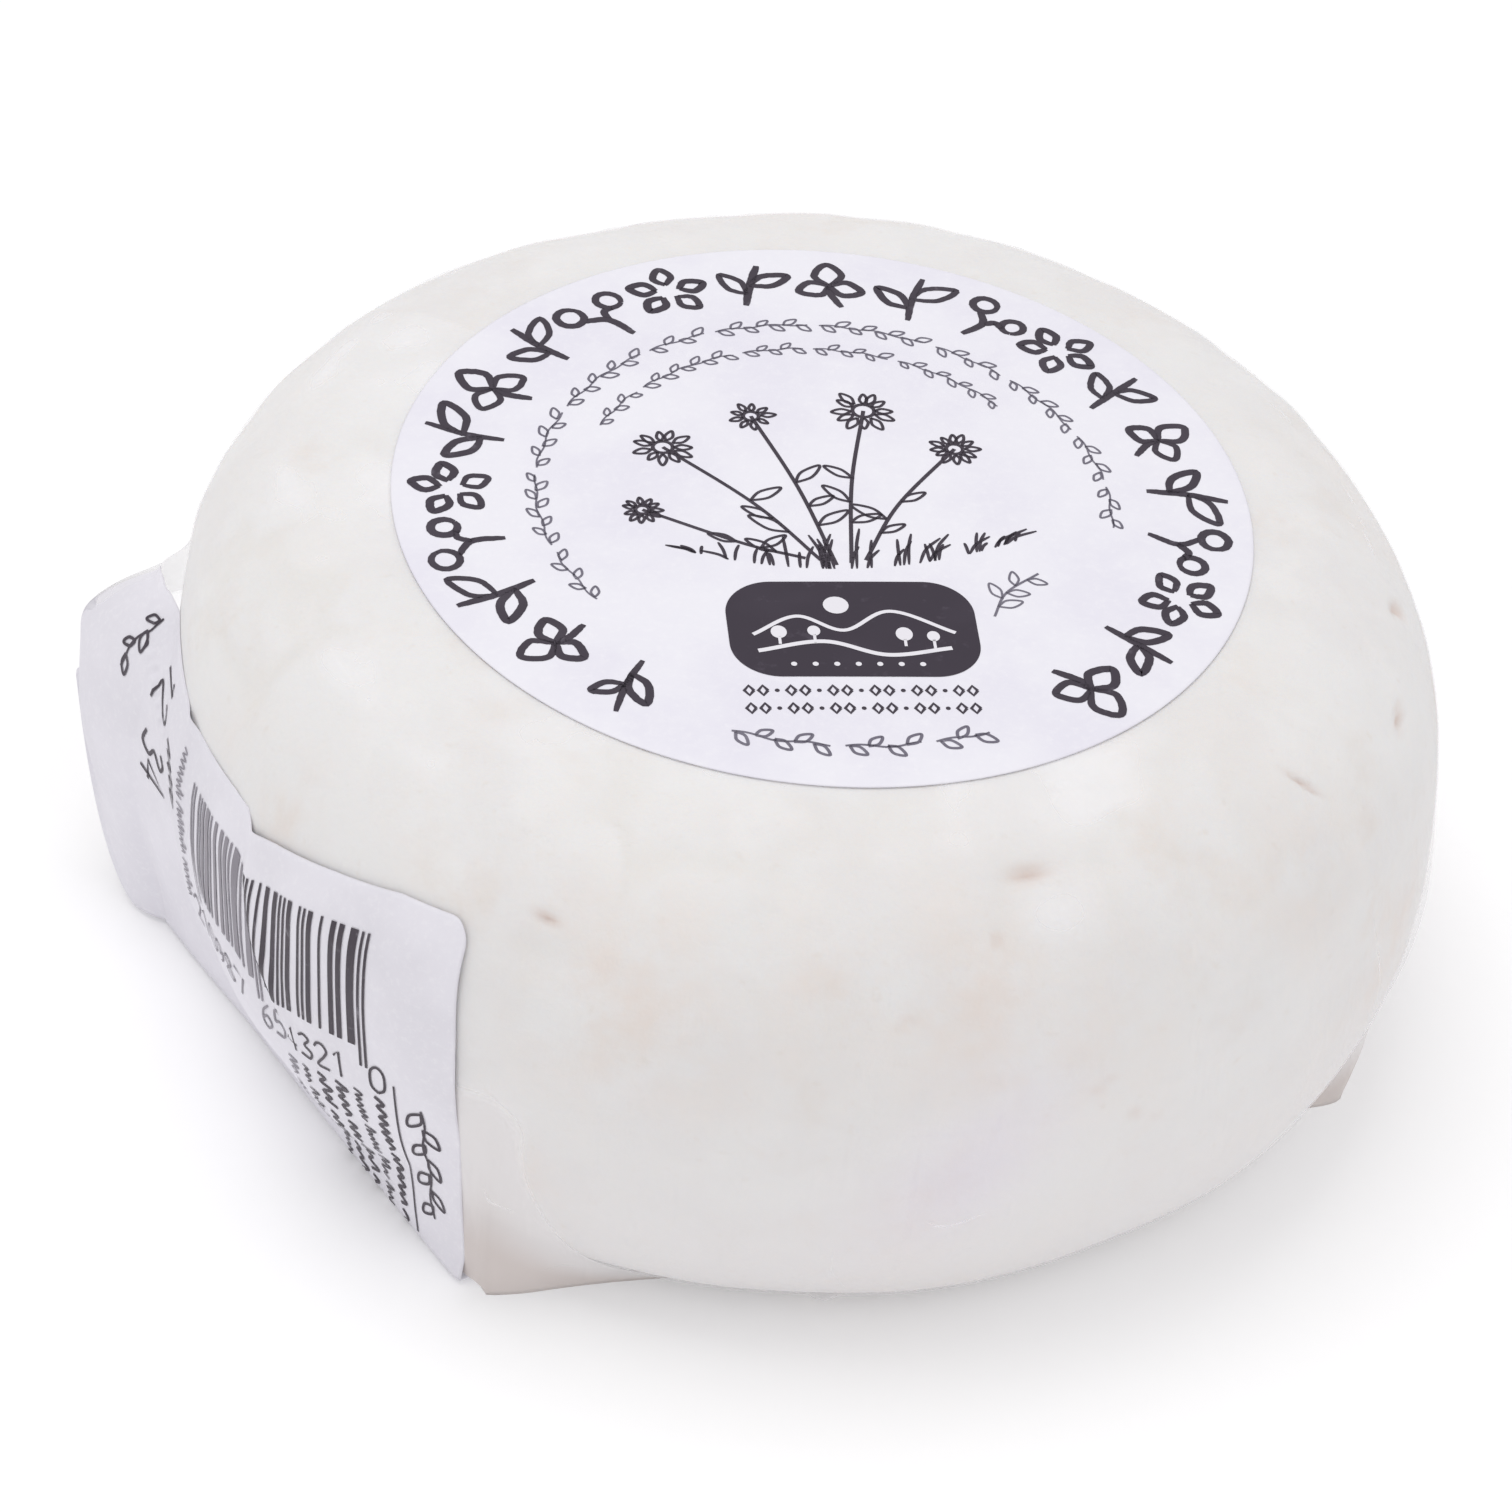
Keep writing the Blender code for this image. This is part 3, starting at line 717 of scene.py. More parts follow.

# %% [markdown]
# ## The film
#
# Cling film shows as a faint gloss, as a milky glare on the shoulder and as a grey haze
# where several layers hang free of the cheese. The glare is a painted highlight, and a
# lilac patch low on the front is a painted reflection. A clear sheet is mixed from a
# transparent shader and a white glossy one. The factor grows at grazing angles, with the
# glare, with the lilac patch and with the distance between film and cheese. The last three
# were painted on the mesh. Where the film stands off, its tone darkens to a grey-brown:
# partly the real grey of several layers, partly painted shade of the pocket behind it.

# %% Film material
def film_finish():
    finish = Finish("cling_film")
    place = finish.place()
    stand_off = finish.attribute("stand_off")
    painted_glare = finish.attribute("painted_glare")
    painted_sheen = finish.attribute("painted_sheen")
    stretch = finish.grain(finish.scaled(place, (1.0, 1.0, 0.15)), 520.0, 3.0, 0.6)
    smear = finish.grain(finish.scaled(place, (0.7, 0.7, 1.5)), 230.0, 4.0, 0.6)
    waves = 0.35 * stretch + 0.65 * smear
    normal = finish.bump(waves, 0.20 * MM, 0.2)
    gloss = finish.node("ShaderNodeFresnel", None, {"IOR": 1.33})
    cloud = finish.grain(finish.scaled(place, (0.6, 0.6, 1.7)), 170.0, 2.5, 0.5)
    # painted highlight: the glare band on the shoulder and the bright spot make the film whiter and more
    # opaque
    painted_glare_cloud = painted_glare * (0.06 + 0.85 * cloud.between(0.38, 0.66))
    lines = stretch.between(0.56, 0.72) * 0.04
    # painted shade: where the film stands off it turns nearly opaque and its tone darkens to grey-brown,
    # partly the real grey of several layers
    haze = 0.93 * stand_off.between(0.0, 0.06)
    opacity = (0.28 * gloss + 0.6 * painted_glare_cloud + lines + 0.22 * painted_sheen + haze).clamped()
    # painted reflection: a lilac tint on the film low on the front
    tone = finish.colours(painted_sheen, colour(250, 249, 251), colour(226, 211, 237))
    layers_and_painted_shade = finish.colours(stand_off.between(0.12, 0.80), colour(232, 229, 229), colour(216, 207, 203))
    tone = finish.colours(stand_off.between(0.0, 0.05), tone, layers_and_painted_shade)
    finish.principled({
        "Base Color": tone, "Roughness": 0.25 + 0.15 * smear + 0.3 * painted_glare, "Normal": normal, "IOR": 1.45,
    })
    clear = finish.node("ShaderNodeBsdfTransparent")
    shader = Wire(finish, finish.shader.outputs[0])
    mixed = finish.node("ShaderNodeMixShader", None, {0: opacity, 1: clear, 2: shader})
    finish.put(finish.output, {"Surface": mixed})
    return finish.material


film_material = film_finish()
print("cling film:", len(film_material.node_tree.nodes), "nodes")

# %% [markdown]
# The film's skin is spun like the cheese, with extra rings along its lower edge. There
# the rings are led along the fold line, so that the ear keeps a sharp edge. Stretch
# ridges are soft swellings between two places.

# %% Build the film
FILM_STEPS = 620
UNDERSIDE_RINGS = 8
# place of the painted lilac reflection
SHEEN_PLACE = (-71.5, 0.42 * RADIUS)
# start azimuth and height, end azimuth and height, ridge height, ridge width
RIDGES = (
    (-16.0, 0.05 * RADIUS, -9.0, 0.50 * RADIUS, 0.35 * MM, 0.9 * MM),
    (-27.5, 0.56 * RADIUS, -24.0, 0.30 * RADIUS, 0.25 * MM, 0.7 * MM),
    (-82.2, 0.00 * RADIUS, -80.0, 0.14 * RADIUS, 0.40 * MM, 0.6 * MM),
    (-96.0, 0.25 * RADIUS, -95.0, 0.62 * RADIUS, 0.08 * MM, 0.9 * MM),
    (-88.5, 0.20 * RADIUS, -88.0, 0.55 * RADIUS, 0.08 * MM, 0.8 * MM),
    (58.0, 0.02 * RADIUS, 61.0, 0.45 * RADIUS, 0.30 * MM, 0.9 * MM),
    (121.0, 0.02 * RADIUS, 118.0, 0.40 * RADIUS, 0.30 * MM, 0.9 * MM),
)


def film_outline(rings):
    """The film's outline: as the cheese, with close rings where it turns under."""
    outline = [(TOP_FLAT_RADIUS * step / 24, HEIGHT) for step in range(24)]
    for step in range(rings + 1):
        turn_angle = math.radians(90.0) * (1.0 - step / rings)
        z = WIDEST_Z + (HEIGHT - WIDEST_Z) * math.sin(turn_angle) ** (2.0 / SHOULDER_POWER)
        outline.append((float(profile_radius(z)), z))
    for step in range(1, rings + 1):
        z = WIDEST_Z * (1.0 - step / rings)
        outline.append((float(profile_radius(max(z, 0.0))), max(z, 0.0)))
    for step in range(1, UNDERSIDE_RINGS + 1):
        outline.append((BASE_FLAT_RADIUS * blend(1.0, INNER_FOOT, step / UNDERSIDE_RINGS), 0.0))
    outline += [(BASE_FLAT_RADIUS * INNER_FOOT * (1.0 - step / 22), 0.0) for step in range(1, 23)]
    return outline


def ridge_height(azimuth, z):
    """Height of the film's soft ridges, in metres, outwards."""
    around = np.radians(azimuth) * RADIUS
    height = np.zeros(len(azimuth))
    for start_az, start_z, end_az, end_z, ridge, width in RIDGES:
        start = np.array((math.radians(start_az) * RADIUS, start_z))
        span = np.array((math.radians(end_az) * RADIUS, end_z)) - start
        offset = np.stack([around, z], axis=1) - start
        along = np.clip(offset @ span / (span @ span), 0.0, 1.0)
        away = np.linalg.norm(offset - along[:, None] * span, axis=1)
        taper = np.sin(math.pi * (0.1 + 0.8 * along))
        height = np.maximum(height, ridge * taper * np.exp(-(away / width) ** 2))
    return height


def glare_on(points, azimuth):
    """Where a highlight is painted on the film: a band on the shoulder, in patches, and a bright spot."""
    z = points[:, 2]
    lower = 0.838 * RADIUS + noise_at(points, 12 * MM, 21, 2) * 0.5 * MM
    lower -= 1.0 * MM * smooth_step(azimuth, -112, -128)
    band = smooth_step(z, lower - 0.25 * MM, lower + 0.9 * MM) * smooth_step(azimuth, -25.0, -60.0)
    patches = smooth_step(noise_at(points, 9 * MM, 23, 3), -0.35, 0.45)
    # painted highlight: a soft bright spot
    around, up = round_the_side(azimuth, z, *PAINTED_HIGHLIGHT_SPOT)
    painted_highlight_spot = 0.6 * np.exp(-((around / (2.6 * MM)) ** 2 + (up / (1.1 * MM)) ** 2))
    shoulder = (0.35 + 0.65 * patches) * (0.12 + 0.88 * band) * (z > 0.5 * RADIUS)
    return np.clip(shoulder + painted_highlight_spot, 0.0, 1.0)


def sheen_on(azimuth, z):
    """Where a lilac reflection is painted on the film."""
    around, up = round_the_side(azimuth, z, *SHEEN_PLACE)
    along = 0.62 * around + 0.78 * up
    aside = 0.78 * around - 0.62 * up
    return np.exp(-((along / (10.0 * MM)) ** 2 + (aside / (6.0 * MM)) ** 2))


def build_film():
    bm = spun(film_outline(48), FILM_STEPS)
    film = finished("cling_film", bm, film_material)
    mesh = film.data
    x, y, z = points_of(mesh).T
    radius = np.hypot(x, y)
    azimuth = azimuth_of(x, y)
    angle = np.radians(azimuth)
    foot_radius, foot_z = film_foot(azimuth)
    new_z = np.where(z < WIDEST_Z, foot_z + z * (WIDEST_Z - foot_z) / WIDEST_Z, z)
    skin = film_radius(azimuth, new_z)
    new_radius = np.where(new_z <= foot_z + 1e-9, foot_radius, skin)
    flat_top = z > 0.9999 * HEIGHT
    new_radius = np.where(flat_top, radius, new_radius)
    inner = np.minimum(UNDERSIDE_RADIUS, INNER_FOOT * foot_radius)
    under = (z < 1e-6) & (radius < 0.9999 * BASE_FLAT_RADIUS)
    turn_share = np.clip((radius / BASE_FLAT_RADIUS - INNER_FOOT) / (1.0 - INNER_FOOT), 0.0, 1.0)
    flat_share = radius / (INNER_FOOT * BASE_FLAT_RADIUS)
    under_radius = np.where(flat_share < 1.0, inner * flat_share, blend(inner, foot_radius, turn_share))
    new_radius = np.where(under, under_radius, new_radius)
    new_z = np.where(under, foot_z * turn_share * (flat_share >= 1.0), new_z)
    sheet, _, top_z = free_sheet(azimuth, new_z)
    margin = 0.35 * MM * smooth_step(foot_radius, 0.80 * RADIUS, 0.87 * RADIUS)
    margin *= smooth_step(new_z, top_z + 1.0 * MM, top_z - 4.0 * MM)
    lead = np.where(new_z <= top_z, sheet, skin) - cheese_radius(azimuth, new_z) + margin
    stand_off = np.where(under | flat_top, 0.0, lead) / (4.0 * MM)
    stand_off = np.where(new_z < foot_z + 1e-9, np.maximum(stand_off, 0.6 * turn_share), stand_off)
    stand_off *= 1.0 - 0.985 * smooth_step(azimuth, -160.0, -172.0)
    nominal = np.stack([new_radius * np.cos(angle), new_radius * np.sin(angle), new_z], axis=1)
    on_side = ~(under | flat_top)
    outwards = (shared_lumps(nominal, azimuth) + ridge_height(azimuth, new_z)) * on_side
    points = nominal.copy()
    points[:, 2] += top_settling(nominal[:, 0], nominal[:, 1], z)
    move_points(mesh, points)
    points += normals_of(mesh) * outwards[:, None]
    base_z, bed = gathered_base(points[:, 0], points[:, 1])
    low = points[:, 2] < POCKET_DEPTH
    points[:, 2] = np.where(under & low, np.maximum(points[:, 2], base_z), points[:, 2])
    points[:, 2] = np.where(low & ~under, np.maximum(points[:, 2], POCKET_DEPTH * bed), points[:, 2])
    move_points(mesh, points)
    paint(mesh, "stand_off", np.clip(stand_off, 0.0, 1.0))
    # painted highlight and painted reflection, stored on the mesh for the film's material
    paint(mesh, "painted_glare", glare_on(nominal, azimuth) * on_side)
    paint(mesh, "painted_sheen", sheen_on(azimuth, new_z) * on_side)
    return film


def lets_light_through(piece):
    """Film this thin casts no shadow, so the cheese under it is lit as if it were bare."""
    piece.visible_shadow = False
    piece.visible_diffuse = False


cling_film = build_film()
lets_light_through(cling_film)
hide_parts("wrapped_cheese")
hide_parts("wrapped_cheese")

# %% [markdown]
# Where the film is rucked, it lies in hair-fine folds that catch the light. Each is a
# narrow ribbon with a raised middle, led over the film. A few are where the photo shows
# glints, and the rest are scattered from a seed over the right and the back.

# %% Build the film's fine folds
# azimuth and height of the points of a fold, in degrees and wheel radii
SEEN_FOLDS = (
    ((-108.9, 0.831), (-107.1, 0.836), (-104.6, 0.841)),
    ((-74.2, 0.314), (-72.9, 0.299), (-71.3, 0.303), (-69.2, 0.319)),
    ((-112.6, 0.232), (-111.9, 0.209), (-110.2, 0.195)),
    ((-81.9, 0.250), (-81.6, 0.189), (-80.0, 0.130)),
    ((-27.4, 0.560), (-26.3, 0.480), (-24.9, 0.400)),
    ((-108.2, 0.050), (-106.6, 0.064), (-105.0, 0.060)),
)
SCATTERED_FOLDS = 20
FOLD_HALF_WIDTH = 0.10 * MM
FOLD_HEIGHT = 0.05 * MM


def on_film(azimuth, z, lift):
    """Places on the film at azimuths and heights, lifted off it."""
    angle = np.radians(azimuth)
    slope = (film_radius(azimuth, z + 0.05 * MM) - film_radius(azimuth, z - 0.05 * MM)) / (0.1 * MM)
    radius = film_radius(azimuth, z)
    points = np.stack([radius * np.cos(angle), radius * np.sin(angle), z], axis=1)
    normal = np.stack([np.cos(angle), np.sin(angle), -slope], axis=1) / np.hypot(1.0, slope)[:, None]
    points += normal * (shared_lumps(points, azimuth) + ridge_height(azimuth, z) + lift)[:, None]
    points[:, 2] += top_settling(points[:, 0], points[:, 1], z)
    return points


def fold_lines():
    """The seen folds and the scattered ones, as flat lines of metres round the side and up."""
    draw = random.Random(77)
    scale = np.array((math.radians(1.0) * RADIUS, RADIUS))
    lines = [np.array(fold) * scale for fold in SEEN_FOLDS]
    for _ in range(SCATTERED_FOLDS):
        height = draw.choice((0.80, 0.82, draw.uniform(0.1, 0.8)))
        start = np.array((draw.uniform(0.0, 150.0), height)) * scale
        length = draw.uniform(1.0, 4.0) * MM
        heading = draw.gauss(0.0, 0.5)
        line = [start]
        for _ in range(3):
            heading += draw.uniform(-0.5, 0.5)
            line.append(line[-1] + length / 3 * np.array((math.cos(heading), 0.3 * math.sin(heading))))
        lines.append(np.array(line))
    return [line for line in lines if line[:, 1].max() < 0.86 * RADIUS]


def build_folds():
    bm = bmesh.new()
    for line in fold_lines():
        line = curve(line, 6)
        count = len(line) - 1
        way = np.gradient(line, axis=0)
        way /= np.linalg.norm(way, axis=1)[:, None]
        grid = bmesh.ops.create_grid(bm, x_segments=count, y_segments=2, size=0.5)
        step = np.array([round((vert.co.x + 0.5) * count) for vert in grid["verts"]])
        row = np.array([round(2.0 * vert.co.y) for vert in grid["verts"]])
        taper = np.sin(math.pi * (0.04 + 0.92 * step / count))
        across = np.stack([-way[step, 1], way[step, 0]], axis=1)
        flat = line[step] + across * (FOLD_HALF_WIDTH * row * taper)[:, None]
        lift = np.where(row == 0, FOLD_HEIGHT * taper, 0.004 * MM)
        azimuth = np.degrees(flat[:, 0] / RADIUS)
        for vert, place in zip(grid["verts"], on_film(azimuth, flat[:, 1], lift)):
            vert.co = place
    bmesh.ops.recalc_face_normals(bm, faces=bm.faces[:])
    folds = finished("film_folds", bm, film_material)
    count = len(folds.data.vertices)
    paint(folds.data, "stand_off", np.zeros(count))
    # painted highlight: the folds are painted with glare, which whitens them into glints
    paint(folds.data, "painted_glare", np.full(count, 0.7))
    paint(folds.data, "painted_sheen", np.zeros(count))
    return folds


film_folds = build_folds()
lets_light_through(film_folds)

# %% [markdown]
# ## Paper and ink
#
# Both labels are thin, cool white paper. Under a lamp their fibres show as a very faint
# mottling. The ink is a dark plum grey that is a little glossier than the paper. On the
# side label it is thermal print. Left of the tuck its strength was painted weaker on the
# mesh, a painted glare that pales the print there.

# %% Paper and ink materials
def paper_finish(name, tint, shade, fibre_size):
    finish = Finish(name)
    place = finish.place()
    cloud = finish.grain(place, 110.0, 3.0, 0.6)
    fibre = finish.grain(place, 1.0 / fibre_size, 4.0, 0.7)
    base = finish.colours(cloud.between(0.35, 0.7), tint, shade)
    base = finish.colours(fibre.between(0.45, 0.8) * 0.35, base, colour(250, 249, 252))
    finish.principled({
        "Base Color": base, "Roughness": 0.45 + 0.2 * fibre, "Specular IOR Level": 0.4,
        "Normal": finish.bump(0.7 * cloud + 0.3 * fibre, 0.12 * MM, 0.35),
    })
    return finish.material


def ink_finish(name, dark, pale):
    finish = Finish(name)
    place = finish.place()
    speck = finish.grain(place, 900.0, 3.0, 0.6)
    patch = finish.grain(place, 160.0, 2.0, 0.5)
    strength = finish.attribute("strength")
    wear = (speck.between(0.60, 0.78) * 0.35 + patch.between(0.5, 0.8) * 0.12).clamped()
    base = finish.colours(wear, dark, pale)
    # painted glare: where strength was painted below 1 the ink pales
    base = finish.colours(strength, pale, base)
    finish.principled({"Base Color": base, "Roughness": 0.38 + 0.2 * patch, "Specular IOR Level": 0.4})
    return finish.material


top_paper = paper_finish("top_label_paper", colour(241, 240, 247), colour(235, 233, 243), 0.6 * MM)
side_paper = paper_finish("side_label_paper", colour(236, 234, 241), colour(229, 227, 234), 0.5 * MM)
top_ink = ink_finish("top_label_ink", colour(58, 50, 62), colour(128, 122, 134))
panel_ink = ink_finish("panel_ink", colour(50, 41, 55), colour(92, 84, 98))
grey_ink = ink_finish("fine_print_ink", colour(112, 108, 122), colour(176, 172, 184))
white_ink = ink_finish("knocked_out_paper", colour(236, 234, 240), colour(214, 210, 220))
side_ink = ink_finish("thermal_print", colour(62, 54, 64), colour(186, 182, 192))
print("inks:", [ink.name for ink in (top_ink, panel_ink, grey_ink, white_ink, side_ink)])

# %% [markdown]
# ## Drawing with ribbons
#
# Every printed line is a narrow ribbon. It starts as a grid one face wide, and each pair
# of points is led along the line. Brush strokes swell in the middle and shake a little,
# like a marker held by hand. All the print is drawn flat, in millimetres of the label's
# own plane, and laid on the paper at the end.

# %% Helpers that draw flat ink
def ribbon(bm, line, width, brush=0.0):
    """A ribbon along flat points, in metres. With brush above 0 it thins at both ends."""
    line = np.asarray(line, float)
    count = len(line) - 1
    way = np.gradient(line, axis=0)
    way /= np.maximum(np.linalg.norm(way, axis=1), 1e-9)[:, None]
    across = np.stack([-way[:, 1], way[:, 0]], axis=1)
    swell = 1.0 - brush * (2.0 * np.linspace(0.0, 1.0, count + 1) - 1.0) ** 4
    grid = bmesh.ops.create_grid(bm, x_segments=count, y_segments=1, size=0.5)
    for vert in grid["verts"]:
        step = round((vert.co.x + 0.5) * count)
        place = line[step] + across[step] * math.copysign(0.5 * width * swell[step], vert.co.y)
        vert.co = (place[0], place[1], 0.0)


def dot(bm, centre, radius, stretch=1.0):
    """A filled round dot, which may be stretched."""
    disc = bmesh.ops.create_circle(bm, cap_ends=True, segments=20, radius=radius)
    bmesh.ops.scale(bm, verts=disc["verts"], vec=(stretch, 1.0, 1.0))
    bmesh.ops.translate(bm, verts=disc["verts"], vec=(centre[0], centre[1], 0.0))


def ring(centre, wide, high, start=0.0, end=360.0, steps=24):
    """Points on an oval or on a part of it."""
    angle = np.radians(np.linspace(start, end, steps + 1))
    return np.stack([centre[0] + wide * np.cos(angle), centre[1] + high * np.sin(angle)], axis=1)


def turned(points, angle, shift=(0.0, 0.0)):
    """Points turned about the origin and then moved."""
    cos, sin = math.cos(angle), math.sin(angle)
    return np.asarray(points, float) @ np.array(((cos, sin), (-sin, cos))) + np.asarray(shift)


def laid(name, bm, lay, material, strength=None):
    """Lay flat ink on a label and make it an object."""
    bmesh.ops.recalc_face_normals(bm, faces=bm.faces[:])
    flat = np.array([vert.co for vert in bm.verts])
    for vert, place in zip(bm.verts, lay(flat)):
        vert.co = place
    piece = finished(name, bm, material)
    values = np.ones(len(flat)) if strength is None else strength(flat)
    paint(piece.data, "strength", values)
    return piece


# %% [markdown]
# The smallest marks are only lines that run up and down, in short lengths with gaps. They
# come from a seed, so they are the same each time, and they say nothing. Plain numerals
# are drawn as such, each from a few points.

# %% Rows of small marks and numerals
NUMERALS = (
    ((0.30, 0.0), (0.06, 0.22), (0.06, 0.78), (0.30, 1.0), (0.54, 0.78), (0.54, 0.22), (0.30, 0.0)),
    ((0.12, 0.80), (0.32, 1.0), (0.32, 0.0)),
    ((0.04, 0.78), (0.18, 0.97), (0.40, 0.97), (0.54, 0.76), (0.40, 0.48), (0.04, 0.0), (0.56, 0.0)),
    ((0.05, 0.88), (0.28, 1.0), (0.50, 0.84), (0.26, 0.54), (0.53, 0.32), (0.40, 0.03), (0.04, 0.12)),
    ((0.44, 0.0), (0.44, 1.0), (0.04, 0.30), (0.58, 0.30)),
    ((0.52, 1.0), (0.12, 1.0), (0.08, 0.56), (0.32, 0.62), (0.54, 0.44), (0.46, 0.08), (0.04, 0.08)),
    ((0.46, 0.98), (0.14, 0.66), (0.06, 0.22), (0.28, 0.0), (0.54, 0.24), (0.36, 0.52), (0.10, 0.38)),
    ((0.04, 1.0), (0.56, 1.0), (0.22, 0.0)),
    ((0.30, 0.54), (0.08, 0.78), (0.30, 1.0), (0.52, 0.78), (0.30, 0.54), (0.05, 0.24), (0.30, 0.0),
     (0.55, 0.24), (0.30, 0.54)),
    ((0.50, 0.60), (0.24, 0.48), (0.06, 0.76), (0.30, 1.0), (0.54, 0.78), (0.46, 0.34), (0.14, 0.02)),
)


def scribble(length, size, pitch, draw):
    """One mark: a line that runs up and down."""
    count = max(4, round(length / pitch))
    heights = [
        draw.choice((0.52, 0.60, 0.66, 0.98)) if step % 2 else draw.uniform(-0.06, 0.08)
        for step in range(count)
    ]
    places = [length * (step + draw.uniform(-0.2, 0.2)) / (count - 1) for step in range(count)]
    return curve(np.stack([places, np.array(heights) * size], axis=1), 4)


def mark_row(bm, length, size, width, place, seed):
    """A row of marks. place puts a row's flat points where they belong."""
    draw = random.Random(seed)
    pitch = max(0.26 * size, 1.45 * width)
    along = 0.0
    while along < length - 1.2 * size:
        span = min(draw.uniform(1.5, 5.0) * size, length - along)
        ribbon(bm, place(scribble(span, size, pitch, draw) + (along, 0.0)), width)
        along += span + 0.6 * size


def numeral_row(bm, numerals, size, pitch, width, place):
    """A row of numerals at an even pitch. None leaves a gap."""
    for count, numeral in enumerate(numerals):
        if numeral is not None:
            points = np.array(NUMERALS[numeral]) * size + (count * pitch, 0.0)
            ribbon(bm, place(curve(points, 4) if numeral not in (1, 4, 7) else points), width)


def along_ring(radius, start, sign=-1.0):
    """Puts a row's points on a ring, from a start angle in degrees, clockwise for -1."""
    def place(points):
        angle = math.radians(start) + sign * points[:, 0] / radius
        reach = radius - sign * points[:, 1]
        return np.stack([reach * np.cos(angle), reach * np.sin(angle)], axis=1)
    return place


# %% [markdown]
# ## The round label
#
# A die-cut disc of paper, 58 mm across. It settles on the crowned top and ripples very
# slightly where the film under it isn't flat.

# %% Build the round label
TOP_LABEL_RADIUS = 29 * MM
TOP_LABEL_REST = 0.02 * MM
PAPER = 0.10 * MM
INK = 0.02 * MM
PRINT_TURN = math.radians(10.0)


def label_ripple(x, y):
    """The paper's faint ripple, in metres."""
    wave = np.sin(260.0 * x + 120.0 * y + 0.5) * np.sin(190.0 * y - 90.0 * x + 1.1)
    away = np.hypot(x, y)
    rim = smooth_step(away, 0.3 * TOP_LABEL_RADIUS, TOP_LABEL_RADIUS)
    held = smooth_step(away, TOP_LABEL_RADIUS, 0.95 * TOP_LABEL_RADIUS)
    return 0.03 * MM * (1.0 + wave) * rim * held


def build_top_label():
    rings = 30
    outline = [(TOP_LABEL_RADIUS * step / rings, PAPER) for step in range(rings)]
    thinned = ((0.25, 1.0), (0.1, 0.85), (0.0, 0.3))
    outline += [(TOP_LABEL_RADIUS - inset * MM, share * PAPER) for inset, share in thinned]
    outline += [(TOP_LABEL_RADIUS * (1.0 - step / rings), 0.0) for step in range(rings + 1)]
    bm = spun(outline, 240)
    for vert in bm.verts:
        x, y = vert.co.xy
        vert.co.z += float(top_height(x, y) + label_ripple(x, y)) + TOP_LABEL_REST
    label = finished("round_label", bm, top_paper)
    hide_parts("top_label")
    return label


def on_top_label(flat):
    """From the label's flat print plane to the crowned top."""
    x, y = turned(flat[:, :2], PRINT_TURN).T
    z = top_height(x, y) + label_ripple(x, y) + TOP_LABEL_REST + PAPER + INK
    return np.stack([x, y, z], axis=1)


build_top_label()

# %% [markdown]
# ## The garland
#
# A ring of bold marker motifs fills the label's edge and leaves a gap at the bottom. It
# is made of sprigs, clover, berries and small flowers. Each motif is drawn upright round
# its own origin, shaken a little, and then turned to its place on the ring.

# %% Draw the garland
GARLAND_RADIUS = 24.6 * MM
GARLAND_COUNT = 22
MARKER = 0.56 * MM


def leaf(base, tip, belly, draw):
    """An open leaf outline from base to tip and back."""
    base, tip = np.array(base), np.array(tip)
    span = tip - base
    side = np.array((-span[1], span[0])) * belly
    slip = draw.uniform(-0.05, 0.05) * span
    return curve([base, base + 0.45 * span + side, tip, base + 0.5 * span - side, base + slip], 8)


def sprig(size, draw):
    lean = draw.uniform(-0.2, 0.2) * size
    stem = curve([(0, -0.5 * size), (0.25 * lean, 0.0), (lean, 0.5 * size)])
    left = leaf((0.0, -0.22 * size), (-0.42 * size, 0.18 * size), 0.22, draw)
    right = leaf((0.1 * lean, 0.0), (0.44 * size + lean, 0.32 * size), 0.22, draw)
    return [stem, left, right]


def clover(size, draw):
    stem = curve([(0.12 * size, -0.5 * size), (0.0, -0.2 * size), (0.0, 0.0)])
    first = draw.uniform(-12.0, 12.0)
    leaves = []
    for turn_by in (90.0 + first, 205.0 + first, -25.0 + first):
        angle = math.radians(turn_by)
        tip = (0.46 * size * math.cos(angle), 0.46 * size * math.sin(angle) + 0.05 * size)
        leaves.append(leaf((0.0, 0.0), tip, 0.36, draw))
    return [stem] + leaves


def berries(size, draw):
    fork = curve([(0.0, -0.5 * size), (0.02 * size, -0.1 * size), (-0.22 * size, 0.12 * size)])
    branch = curve([(0.02 * size, -0.12 * size), (0.12 * size, 0.05 * size), (0.28 * size, 0.02 * size)])
    left = ring((-0.26 * size, 0.28 * size), 0.17 * size, 0.17 * size, 20, 385, 16)
    right = ring((0.34 * size, 0.16 * size), 0.15 * size, 0.16 * size, -60, 300, 16)
    return [fork, branch, left, right]


def flower(size, draw):
    petals = []
    for petal in range(5):
        angle = math.radians(72.0 * petal + draw.uniform(-8, 8) + 90)
        tip = (0.48 * size * math.cos(angle), 0.48 * size * math.sin(angle))
        petals.append(leaf((0.3 * tip[0], 0.3 * tip[1]), tip, 0.34, draw))
    return petals


def draw_garland():
    bm = bmesh.new()
    draw = random.Random(7)
    order = (sprig, clover, sprig, berries, flower)
    for count in range(GARLAND_COUNT):
        around = blend(-128.0, -412.0, count / (GARLAND_COUNT - 1))
        size = draw.uniform(5.0, 5.8) * MM
        radius = GARLAND_RADIUS + draw.uniform(-0.4, 0.4) * MM
        lean = draw.uniform(-0.30, 0.30)
        centre = (radius * math.cos(math.radians(around)), radius * math.sin(math.radians(around)))
        for line in order[count % len(order)](size, draw):
            shake = np.array([(draw.uniform(-1, 1), draw.uniform(-1, 1)) for _ in line]) * 0.02 * MM
            placed = turned(line + shake, math.radians(around - 90.0) + lean, centre)
            ribbon(bm, placed, MARKER * draw.uniform(0.85, 1.1), brush=0.35)
    return laid("garland_print", bm, on_top_label, top_ink)


draw_garland()

